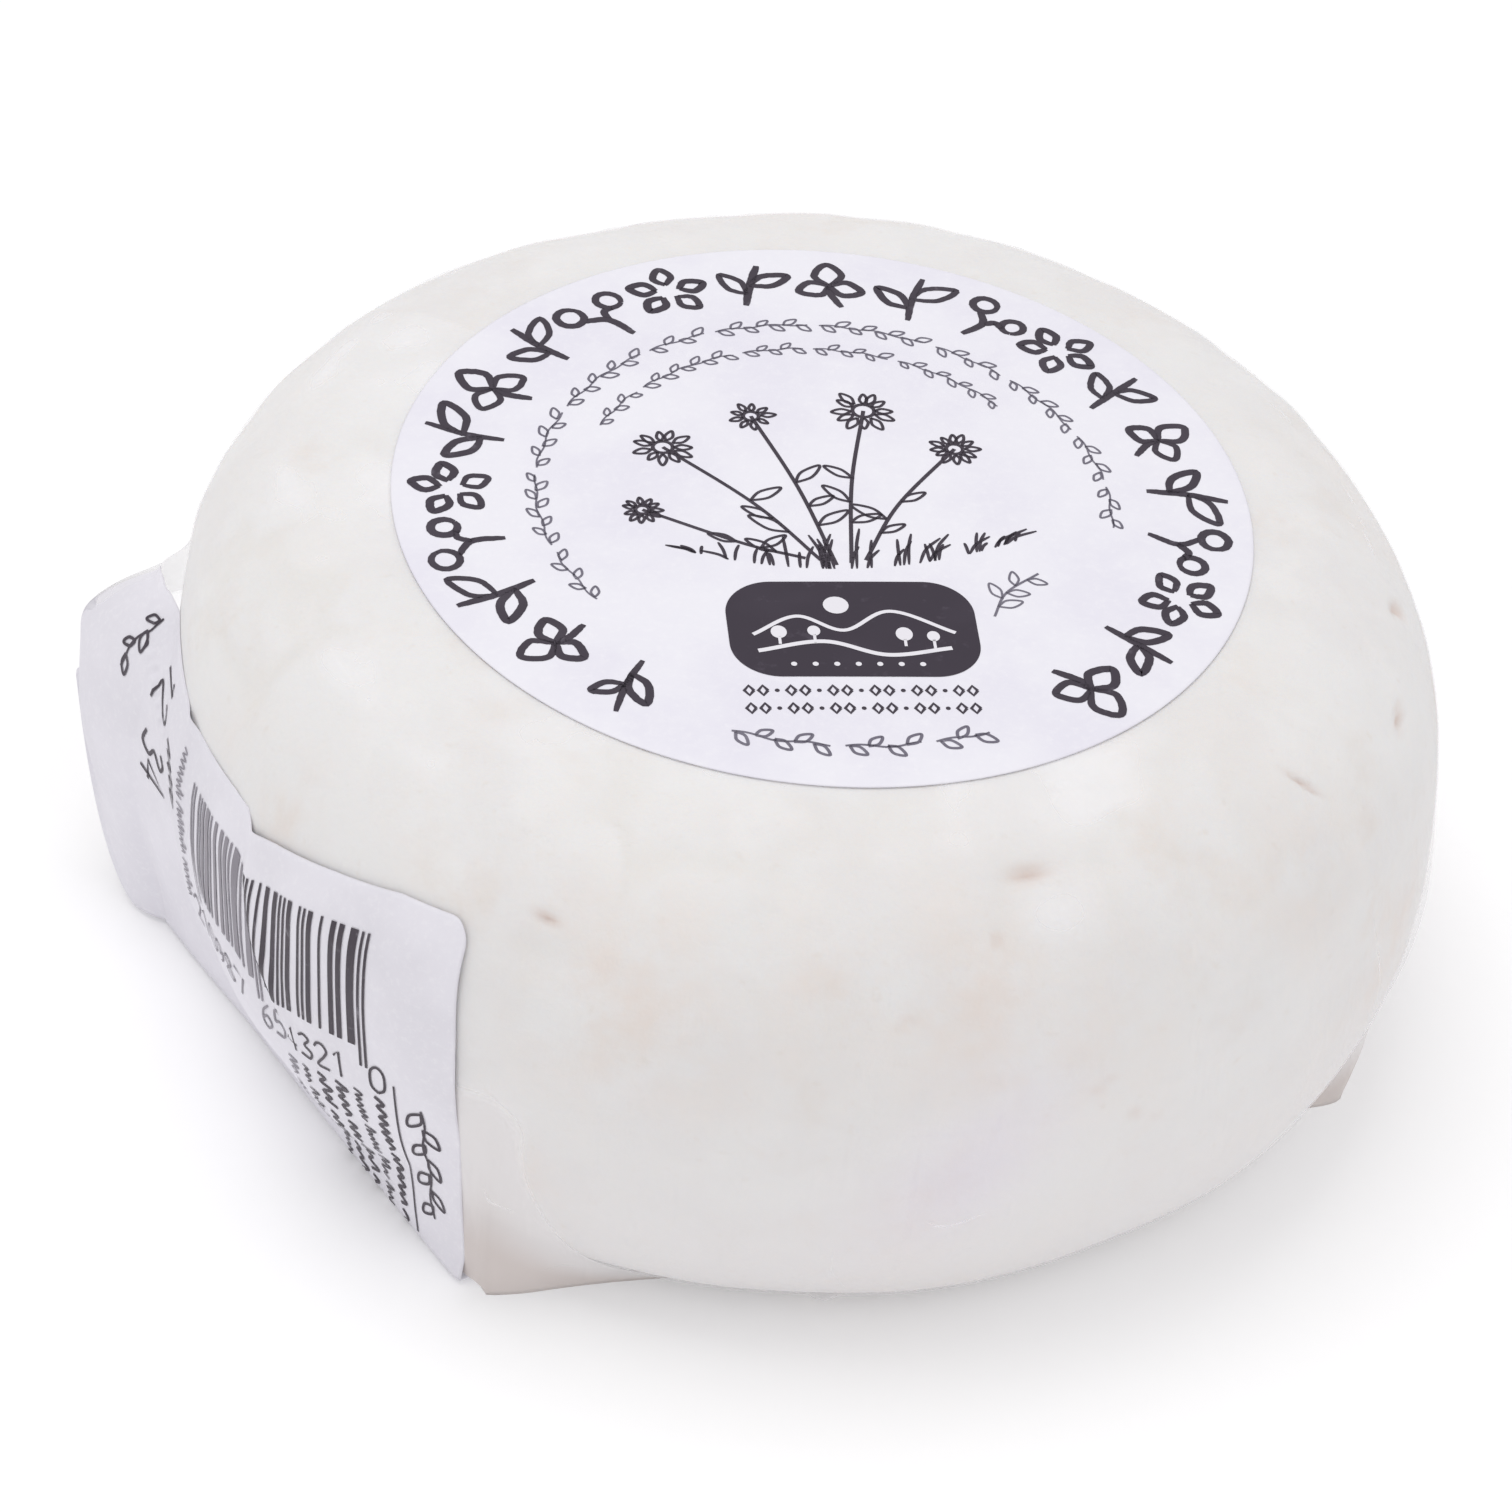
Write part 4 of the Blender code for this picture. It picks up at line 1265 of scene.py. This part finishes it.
# %% [markdown]
# Inside the garland stand two rings of fine grey leaves, and below them two heavier rows
# of beads and a vine near the label's foot. Each row is drawn along a straight line
# first, and its `place` function bends it.

# %% Draw the rings and rows of fine ornament
def straight_row(u, v):
    """Puts a row's points on a straight line that starts at u and v."""
    return lambda points: np.asarray(points, float) + (u, v)


def leaf_row(bm, length, size, width, place, seed):
    """Open leaves on both sides of a thin stem, in short lengths with gaps between them."""
    draw = random.Random(seed)
    along = 0.0
    while along < length - 1.5 * size:
        span = min(draw.uniform(2.5, 6.0) * size, length - along)
        count = max(2, round(span / (0.62 * size)))
        stem = np.linspace(0.0, span, 5 * count)
        wave = (0.5 + 0.07 * np.sin(stem / size * 3.1)) * size
        ribbon(bm, place(np.stack([along + stem, wave], axis=1)), 0.75 * width)
        for step in range(count):
            foot = (along + span * (step + 0.2) / count, 0.5 * size)
            side = draw.uniform(0.36, 0.50) * (1 if step % 2 else -1)
            tip = (foot[0] + draw.uniform(0.50, 0.66) * size, foot[1] + side * size)
            ribbon(bm, place(leaf(foot, tip, 0.24, draw)), width)
        along += span + 0.5 * size


def bead_row(bm, length, size, place):
    """Small lozenges and dots by turns."""
    count = round(length / (0.8 * size))
    for step in range(count):
        centre = place(np.array([(length * (step + 0.5) / count, 0.5 * size)]))[0]
        if step % 3 == 2:
            dot(bm, centre, 0.14 * size)
        else:
            ribbon(bm, centre + ring((0.0, 0.0), 0.27 * size, 0.40 * size, steps=4), 0.2 * size)


def draw_fine_print():
    bm = bmesh.new()
    leaf_row(bm, 75 * MM, 1.55 * MM, 0.17 * MM, along_ring(18.6 * MM, 214.0), 3)
    leaf_row(bm, 34 * MM, 1.35 * MM, 0.16 * MM, along_ring(15.8 * MM, 152.0), 4)
    leaf_row(bm, 17.5 * MM, 2.0 * MM, 0.22 * MM, along_ring(26.2 * MM, -109.5, 1.0), 8)
    return laid("fine_print", bm, on_top_label, grey_ink)


def draw_bold_rows():
    bm = bmesh.new()
    bead_row(bm, 15.4 * MM, 1.15 * MM, straight_row(-7.4 * MM, -20.5 * MM))
    bead_row(bm, 15.4 * MM, 1.15 * MM, straight_row(-7.4 * MM, -22.2 * MM))
    return laid("bold_rows_print", bm, on_top_label, top_ink)


draw_fine_print()
draw_bold_rows()

# %% [markdown]
# ## The drawing in the middle
#
# The middle holds a line drawing of meadow plants, in a pen line of a quarter of a
# millimetre: blades of grass and five daisies on bent stems.

# %% Draw the meadow
PEN = 0.28 * MM


def draw_meadow():
    bm = bmesh.new()
    draw = random.Random(12)
    stems = (
        (-1.0, -7.0, -10.5, 5.2, 1.9), (0.0, -7.5, -4.2, 8.6, 1.5), (1.0, -7.3, 3.6, 9.2, 2.1),
        (2.0, -7.0, 9.4, 5.0, 1.6), (-2.0, -6.8, -12.4, -1.6, 1.3),
    )
    for foot_u, foot_v, head_u, head_v, head in stems:
        bend = ((foot_u + head_u) * 0.42 * MM, (foot_v + head_v) * 0.62 * MM)
        stem = curve([(foot_u * MM, foot_v * MM), bend, (head_u * MM, head_v * MM)], 16)
        ribbon(bm, stem, PEN)
        petals = draw.choice((9, 11, 12))
        for petal in range(petals):
            angle = math.tau * petal / petals + draw.uniform(-0.1, 0.1)
            tip = np.array((math.cos(angle), math.sin(angle))) * head * draw.uniform(0.9, 1.15) * MM
            shape = leaf(0.38 * tip, tip, 0.22, draw) + (head_u * MM, head_v * MM)
            ribbon(bm, shape, 0.8 * PEN)
        ribbon(bm, ring((head_u * MM, head_v * MM), 0.36 * head * MM, 0.34 * head * MM, steps=16), PEN)
        for share in (0.25, 0.4, 0.55):
            start = stem[int(share * (len(stem) - 1))]
            side = draw.choice((-1, 1))
            tip = start + np.array((side * draw.uniform(1.6, 2.6), draw.uniform(0.8, 1.9))) * MM
            ribbon(bm, leaf(start, tip, 0.16, draw), 0.8 * PEN)
    for _ in range(46):
        u = draw.uniform(-9.5, 12.5)
        height = draw.uniform(1.8, 4.6) * (1.0 - abs(u - 1.5) / 16.0)
        lean = draw.uniform(-1.2, 1.2) + 0.1 * u
        foot = -7.9 + 0.02 * u * u
        blade_line = [(u, foot), (u + 0.35 * lean, foot + 0.55 * height), (u + lean, foot + height)]
        ribbon(bm, curve(np.array(blade_line) * MM, 6), 0.85 * PEN, brush=0.5)
    return laid("meadow_print", bm, on_top_label, top_ink)


draw_meadow()

# %% [markdown]
# A dark panel with rounded ends sits under the drawing. Two hill lines, a low sun and a
# row of round trees are left white in it. A small loose sprig fills the space at the
# right.

# %% Draw the dark panel and the sprig
PANEL_CENTRE = (0.4 * MM, -13.9 * MM)
PANEL_HALF = (8.2 * MM, 4.7 * MM)


def round_corners(flat, half, corner):
    """Pull the corner squares of a flat rectangle round, about its middle."""
    sign = np.where(flat < 0.0, -1.0, 1.0)
    inner = np.asarray(half) - corner
    past = np.clip((np.abs(flat) - inner) / corner, 0.0, 1.0)
    bent = past * np.sqrt(1.0 - past[:, ::-1] ** 2 / 2.0)
    both = (past > 0.0).all(axis=1)[:, None]
    return np.where(both, sign * (inner + corner * bent), flat)


def draw_panel():
    bm = bmesh.new()
    grid = bmesh.ops.create_grid(bm, x_segments=48, y_segments=28, size=1.0)
    bmesh.ops.scale(bm, verts=grid["verts"], vec=(*PANEL_HALF, 1.0))
    flat = np.array([vert.co.xy for vert in bm.verts])
    rounded = round_corners(flat, PANEL_HALF, 3.2 * MM) + PANEL_CENTRE
    for vert, place in zip(bm.verts, rounded):
        vert.co = (place[0], place[1], 0.0)
    return laid("panel_print", bm, on_top_label, panel_ink)


def draw_panel_motif():
    bm = bmesh.new()
    centre = np.array(PANEL_CENTRE)
    far = curve(np.array([(-6.6, -0.6), (-3.6, 1.2), (-0.6, -0.2), (2.6, 1.7), (6.7, -0.4)]) * MM + centre)
    near = curve(np.array([(-6.4, -2.2), (-2.0, -1.3), (2.0, -2.6), (6.3, -1.9)]) * MM + centre)
    ribbon(bm, far, 0.30 * MM)
    ribbon(bm, near, 0.36 * MM)
    dot(bm, centre + np.array((-0.9, 2.3)) * MM, 0.85 * MM)
    for u, v, size in ((-4.9, -0.55, 0.62), (-2.6, -0.45, 0.5), (3.3, -0.75, 0.66), (5.2, -0.95, 0.5)):
        foot = centre + np.array((u, v - 1.0)) * MM
        ribbon(bm, [foot, foot + np.array((0.0, 0.9)) * MM], 0.2 * MM)
        dot(bm, foot + np.array((0.0, 1.2)) * MM, size * MM, 0.85)
    for step in range(7):
        dot(bm, centre + np.array((-4.2 + 1.4 * step, -3.5)) * MM, 0.2 * MM)
    lay_higher = lambda flat: on_top_label(flat) + (0.0, 0.0, INK)
    return laid("panel_motif_print", bm, lay_higher, white_ink)


def draw_loose_sprig():
    bm = bmesh.new()
    draw = random.Random(31)
    stem = curve(np.array(((9.9, -12.6), (11.0, -10.2), (13.4, -8.2))) * MM, 12)
    ribbon(bm, stem, 0.18 * MM)
    for count, share in enumerate((0.22, 0.38, 0.54, 0.70, 0.86)):
        place = int(share * (len(stem) - 1))
        way = stem[place + 1] - stem[place]
        way /= np.linalg.norm(way)
        aside = np.array((-way[1], way[0])) * (1 if count % 2 else -1)
        tip = stem[place] + (0.9 * way + 1.2 * aside) * (1.25 - 0.4 * share) * MM
        ribbon(bm, leaf(stem[place], tip, 0.22, draw), 0.16 * MM)
    return laid("sprig_print", bm, on_top_label, grey_ink)


draw_panel()
draw_panel_motif()
draw_loose_sprig()

# %% [markdown]
# ## The side label's sheet
#
# The long label sticks to the film from the wheel's front left to the free ear, and
# folds under the base. Its place is worked out column by column: down the film's side to
# the fold, then on underneath. The result is kept as a table, so that paper and print can
# both be laid on it.

# %% Lead the side label's sheet over the film
LABEL_UNDER_BASE = 9 * MM
LABEL_UNDER_EAR = 3 * MM
LABEL_GAP = 0.3 * MM
LABEL_WIDTH = RADIUS * math.radians(LABEL_RIGHT_TOP - LABEL_LEFT)
SHEET_COLUMNS = 300
SIDE_ROWS = 150
UNDER_ROWS = 50
FOLD_AT = SIDE_ROWS / (SIDE_ROWS + UNDER_ROWS)


def equal_steps(path, count):
    """The points at equal distances along a path, and its length."""
    lengths = np.linalg.norm(np.diff(path, axis=0), axis=1)
    along = np.concatenate([[0.0], np.cumsum(lengths)])
    wanted = np.linspace(0.0, along[-1], count + 1)
    return np.stack([np.interp(wanted, along, path[:, axis]) for axis in range(3)], axis=1), along[-1]


def label_column(across):
    """The label's inner face at one share of its width: side points and underside points."""
    edge_azimuth = blend(LABEL_RIGHT_TOP, LABEL_LEFT, across)
    top_z = np.interp(edge_azimuth, *LABEL_EDGE)
    down = np.linspace(0.0, 1.0, 61)
    azimuth = blend(blend(LABEL_RIGHT_TOP, LABEL_RIGHT_FOOT, down), LABEL_LEFT, across)
    foot_radius, foot_z = film_foot(azimuth)
    foot_z = max(float(foot_z[-1]), POCKET_DEPTH - LABEL_GAP)
    foot_radius = float(foot_radius[-1])
    z = blend(top_z, foot_z, down)
    clear = LABEL_GAP * (1.25 + 0.9 * smooth_step(azimuth, -152.0, -166.0))
    clear = np.where(down == 1.0, 1.2 * clear, clear)
    spoke = np.stack([np.cos(np.radians(azimuth)), np.sin(np.radians(azimuth))], axis=1)
    side = np.column_stack([spoke * (film_radius(azimuth, z) + clear)[:, None], z])
    ear = float(smooth_step(azimuth[-1], -169.0, -173.0))
    side[-1, 2] = max(foot_z - ear * 1.5 * LABEL_GAP, POCKET_DEPTH - LABEL_GAP)
    flat_end = side[-1] + np.append(INTO_BASE, 0.0) * LABEL_UNDER_BASE
    to_base = np.append(spoke[-1] * (UNDERSIDE_RADIUS - foot_radius), -foot_z)
    slanted = side[-1] + to_base / np.linalg.norm(to_base) * LABEL_UNDER_EAR - (0.0, 0.0, LABEL_GAP)
    slanted[2] = max(slanted[2], POCKET_DEPTH - LABEL_GAP)
    return side, np.array([side[-1], blend(flat_end, slanted, ear)])


def label_sheet():
    """The table of the sheet's points, and the lengths of both stretches of each column."""
    table = np.empty((SHEET_COLUMNS + 1, SIDE_ROWS + UNDER_ROWS + 1, 3))
    lengths = np.empty((SHEET_COLUMNS + 1, 2))
    for column in range(SHEET_COLUMNS + 1):
        side, under = label_column(column / SHEET_COLUMNS)
        table[column, :SIDE_ROWS + 1], lengths[column, 0] = equal_steps(side, SIDE_ROWS)
        table[column, SIDE_ROWS:], lengths[column, 1] = equal_steps(under, UNDER_ROWS)
    return table, lengths


sheet, sheet_lengths = label_sheet()
print("the label's side is", round(sheet_lengths[0, 0] / MM, 1), "mm high at its right edge")

# %% [markdown]
# Paper that was pressed on by hand isn't smooth. It has a tuck with a sharp little ridge
# where it turns from the wheel's side to the ear, and a second soft crease beyond it.

# %% Crease the sheet and find its places
TUCK = ((0.0, 20.3), (3.0, 19.8), (8.5, 18.4), (11.5, 16.9), (18.0, 14.0))
EDGE_GAP = 0.015 * MM


def sheet_normals(table):
    """Unit normals of the sheet, away from the cheese."""
    across = np.gradient(table, axis=0)
    down = np.gradient(table, axis=1)
    down[:, SIDE_ROWS] = table[:, SIDE_ROWS] - table[:, SIDE_ROWS - 1]
    normal = np.cross(across, down)
    normal /= np.maximum(np.linalg.norm(normal, axis=2), 1e-12)[:, :, None]
    if float((normal[:, :SIDE_ROWS, :2] * table[:, :SIDE_ROWS, :2]).sum()) < 0.0:
        normal = -normal
    return normal


def crease_relief():
    """How far the creases lift each point of the sheet, in metres."""
    u = np.linspace(0.0, LABEL_WIDTH, SHEET_COLUMNS + 1)[:, None] / MM
    rows = np.arange(SIDE_ROWS + UNDER_ROWS + 1)[None, :]
    w = np.minimum(rows / SIDE_ROWS, 1.0) * sheet_lengths[:, :1] / MM
    middle_line = np.interp(w, *np.array(TUCK).T)
    fade = smooth_step(w, 20.0, 9.0) * smooth_step(rows, SIDE_ROWS, 0.8 * SIDE_ROWS)
    ridge = 0.36 * np.exp(-((u - middle_line + 0.6) / 1.0) ** 2)
    ridge = ridge - 0.20 * np.exp(-((u - middle_line - 1.1) / 1.0) ** 2)
    ridge = ridge * smooth_step(w, -2.0, 4.0)
    step = 0.16 * smooth_step(u, middle_line + 0.8, middle_line - 0.8)
    second = 0.28 * np.exp(-((u - 32.3) / 1.1) ** 2) * smooth_step(w, 22.0, 14.0)
    puffs = 0.10 * np.sin(0.55 * u + 0.3 * w) * np.sin(0.31 * w + 0.8) * smooth_step(w, 0.0, 4.0)
    return ((ridge + step) * fade + second + puffs * smooth_step(rows, SIDE_ROWS, 0.85 * SIDE_ROWS)) * MM


def edge_settling():
    """How far the sheet's edges are pressed down onto the film, in metres."""
    u = np.linspace(0.0, LABEL_WIDTH, SHEET_COLUMNS + 1)[:, None]
    rows = np.arange(SIDE_ROWS + UNDER_ROWS + 1)[None, :]
    from_top = rows / SIDE_ROWS * sheet_lengths[:, :1]
    near = np.minimum(np.minimum(u, LABEL_WIDTH - u), from_top)
    loose = LABEL_GAP * (1.25 + 0.9 * smooth_step(u, 26.0 * MM, 37.0 * MM)) - EDGE_GAP
    return loose * smooth_step(near, 5.0 * MM, 0.0) * smooth_step(rows, SIDE_ROWS, 0.93 * SIDE_ROWS)


normals_of_sheet = sheet_normals(sheet)
relief = np.maximum(crease_relief(), -0.15 * MM) - edge_settling()
sheet += normals_of_sheet * relief[:, :, None]


def between_rows(table, across, down):
    """Values of a table at shares across and down, blended from the four nearest."""
    column = np.clip(across, 0.0, 1.0) * SHEET_COLUMNS
    row = np.clip(down, 0.0, 1.0) * (SIDE_ROWS + UNDER_ROWS)
    left = np.minimum(column.astype(int), SHEET_COLUMNS - 1)
    upper = np.minimum(row.astype(int), SIDE_ROWS + UNDER_ROWS - 1)
    s, t = (column - left)[:, None], (row - upper)[:, None]
    first = blend(table[left, upper], table[left + 1, upper], s)
    second = blend(table[left, upper + 1], table[left + 1, upper + 1], s)
    return blend(first, second, t)


def on_sheet(across, down, lift):
    """Places on the sheet, lifted off it."""
    return between_rows(sheet, across, down) + lift * between_rows(normals_of_sheet, across, down)


def on_side_label(flat):
    """From print coordinates (from the right edge, and down from the top edge) to the paper."""
    across = flat[:, 0] / LABEL_WIDTH
    lengths = sheet_lengths[:, None, :].repeat(SIDE_ROWS + UNDER_ROWS + 1, axis=1)
    side_length, under_length = between_rows(lengths, across, across * 0).T
    w = flat[:, 1]
    on_side = FOLD_AT * w / side_length
    below = FOLD_AT + (1.0 - FOLD_AT) * (w - side_length) / under_length
    return on_sheet(across, np.where(w < side_length, on_side, below), PAPER + 3.0 * INK)


def build_side_label():
    bm = bmesh.new()
    bmesh.ops.create_grid(bm, x_segments=220, y_segments=140, size=0.5)
    height = 0.72 * LABEL_WIDTH
    flat = np.array([vert.co.xy for vert in bm.verts]) * (LABEL_WIDTH, height)
    corner = np.where(flat[:, :1] < 0.0, 2.6 * MM, 1.6 * MM)
    flat = round_corners(flat, (0.5 * LABEL_WIDTH, 0.5 * height), corner)
    across, down = 0.5 - flat[:, 0] / LABEL_WIDTH, 0.5 - flat[:, 1] / height
    near_edge = np.minimum(0.5 - np.abs(across - 0.5), down * height / LABEL_WIDTH) * LABEL_WIDTH
    lift = PAPER * (0.25 + 0.75 * smooth_step(near_edge, 0.0, 0.5 * MM))
    for vert, place in zip(bm.verts, on_sheet(across, down, lift[:, None])):
        vert.co = place
    bmesh.ops.recalc_face_normals(bm, faces=bm.faces[:])
    bm.normal_update()
    facing = sum(face.normal.dot(face.calc_center_median()) for face in bm.faces)
    if facing < 0.0:
        bmesh.ops.reverse_faces(bm, faces=bm.faces[:])
    bmesh.ops.solidify(bm, geom=bm.faces[:], thickness=0.9 * PAPER)
    label = finished("long_label", bm, side_paper)
    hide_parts("side_label")
    return label


build_side_label()

# %% [markdown]
# ## The side label's print
#
# A scale prints such labels in black dots on heat-sensitive paper. This one has a block of
# bars, rows of plain numerals, a rule, leaves and columns of small marks that run down the
# label. All of it comes from seeds and says nothing. Left of the tuck the print is paled
# by a painted glare.

# %% Print the side label
BARS_RIGHT = 6.9 * MM
BARS_LEFT = 29.4 * MM
MODULE = (BARS_LEFT - BARS_RIGHT) / 95


def print_paled_by_painted_glare(flat):
    """Full strength right of the tuck, paled beyond it by a painted glare."""
    u = flat[:, 0] / MM
    tuck = np.interp(flat[:, 1] / MM, *np.array(TUCK).T)
    return 1.0 - 0.5 * smooth_step(u, tuck - 0.3, tuck + 0.6) * smooth_step(u, 36.0, 31.0)


def running_down(u, w, size):
    """Puts a row's points on a line that runs down the label, heads to the right."""
    return lambda points: np.stack([u - points[:, 1] + 0.5 * size, w + points[:, 0]], axis=1)


def running_left(u, w, length):
    """Puts a row's points on a line that is upright on the label and ends at its right."""
    return lambda points: np.stack([u + length - points[:, 0], w - points[:, 1]], axis=1)


def print_bars(bm):
    draw = random.Random(21)
    module = 0
    while module < 95:
        bar, gap = draw.choice((1, 1, 1, 2, 2, 3)), draw.choice((1, 1, 2, 2, 3))
        guard = module < 4 or 45 < module < 51 or module > 90
        if guard:
            bar, gap = 1, 1
        u = BARS_RIGHT + (module + 0.5 * bar) * MODULE
        foot = (14.6 if guard else 12.9) - 0.045 * (u / MM - 6.9)
        line = [(u, w * MM) for w in np.linspace(3.2, foot, 18)]
        ribbon(bm, line, bar * MODULE * 0.92)
        module += bar + gap


def print_side_label():
    bm = bmesh.new()
    print_bars(bm)
    numerals = (2, 1, 0, 9, 8, 7, None, 6, 5, 4, 3, 2, 1, None, 0)
    size, pitch = 2.4 * MM, 1.72 * MM
    length = (len(numerals) - 1) * pitch + 0.6 * size
    numeral_row(bm, numerals, size, pitch, 0.22 * MM, running_left(5.4 * MM, 16.6 * MM, length))
    size = 3.1 * MM
    place = running_down(38.6 * MM, 1.2 * MM, size)
    numeral_row(bm, (1, 2, None, 3, 4), size, 2.1 * MM, 0.27 * MM, place)
    leaf_row(bm, 15.0 * MM, 2.6 * MM, 0.22 * MM, running_down(2.7 * MM, 16.6 * MM, 2.6 * MM), 61)
    leaf_row(bm, 5.0 * MM, 1.9 * MM, 0.22 * MM, running_down(43.9 * MM, 1.2 * MM, 1.9 * MM), 71)
    ribbon(bm, [(4.7 * MM, w * MM) for w in np.linspace(15.2, 34.0, 40)], 0.16 * MM)
    rows = (
        (5.9, 17.2, 1.2, 0.30, 15.5, 62), (7.9, 17.2, 1.1, 0.17, 15.0, 63),
        (9.8, 17.4, 1.2, 0.30, 14.0, 64), (11.7, 17.6, 1.2, 0.30, 13.0, 65),
        (13.6, 17.8, 1.1, 0.17, 12.0, 66), (15.5, 18.0, 1.1, 0.17, 9.0, 67),
        (31.2, 2.0, 1.0, 0.12, 13.0, 68), (34.6, 4.4, 1.8, 0.34, 5.0, 69),
    )
    for u, w, size, width, length, seed in rows:
        place = running_down(u * MM, w * MM, size * MM)
        mark_row(bm, length * MM, size * MM, width * MM, place, seed)
    return laid("side_label_print", bm, on_side_label, side_ink, print_paled_by_painted_glare)


print_side_label()

# %% [markdown]
# ## The stage
#
# A plain pale floor and soft lights from above and from the right, as in a small photo
# tent.

# %% Floor, world and lights
def stage_floor():
    bm = bmesh.new()
    bmesh.ops.create_grid(bm, x_segments=1, y_segments=1, size=3.0)
    bmesh.ops.translate(bm, verts=bm.verts[:], vec=(0.0, 0.0, -0.00002))
    finish = Finish("pale_floor")
    shade = finish.grain(finish.place(), 3.0, 2.0)
    finish.principled({"Base Color": finish.colours(shade, colour(250, 250, 251), colour(253, 253, 253)),
                       "Roughness": 0.9, "Specular IOR Level": 0.1,
                       "Emission Color": (1.0, 1.0, 1.0, 1.0), "Emission Strength": 0.11})
    mesh = bpy.data.meshes.new("floor")
    bm.to_mesh(mesh)
    bm.free()
    mesh.materials.append(finish.material)
    floor = bpy.data.objects.new("floor", mesh)
    bpy.context.scene.collection.objects.link(floor)


def soft_light(name, place, aim, size, power):
    """A square soft box that looks at a point."""
    data = bpy.data.lights.new(name, "AREA")
    data.size = size
    data.energy = power
    light = bpy.data.objects.new(name, data)
    light.location = place
    light.rotation_euler = (Vector(aim) - Vector(place)).to_track_quat("-Z", "Y").to_euler()
    bpy.context.scene.collection.objects.link(light)


stage_floor()
soft_light("key", (-0.16, 0.05, 0.80), (0.0, 0.0, 0.02), 0.5, 2.0)
soft_light("fill", (0.50, -0.30, 0.72), (0.0, 0.0, 0.02), 0.6, 0.45)

world = bpy.data.worlds.new("studio")
bpy.context.scene.world = world
world.use_nodes = True
world.node_tree.nodes["Background"].inputs[0].default_value = (0.98, 0.97, 0.98, 1.0)
world.node_tree.nodes["Background"].inputs[1].default_value = 0.69
bpy.context.scene.view_settings.view_transform = "Standard"
print("lights:", [light.name for light in bpy.data.lights])
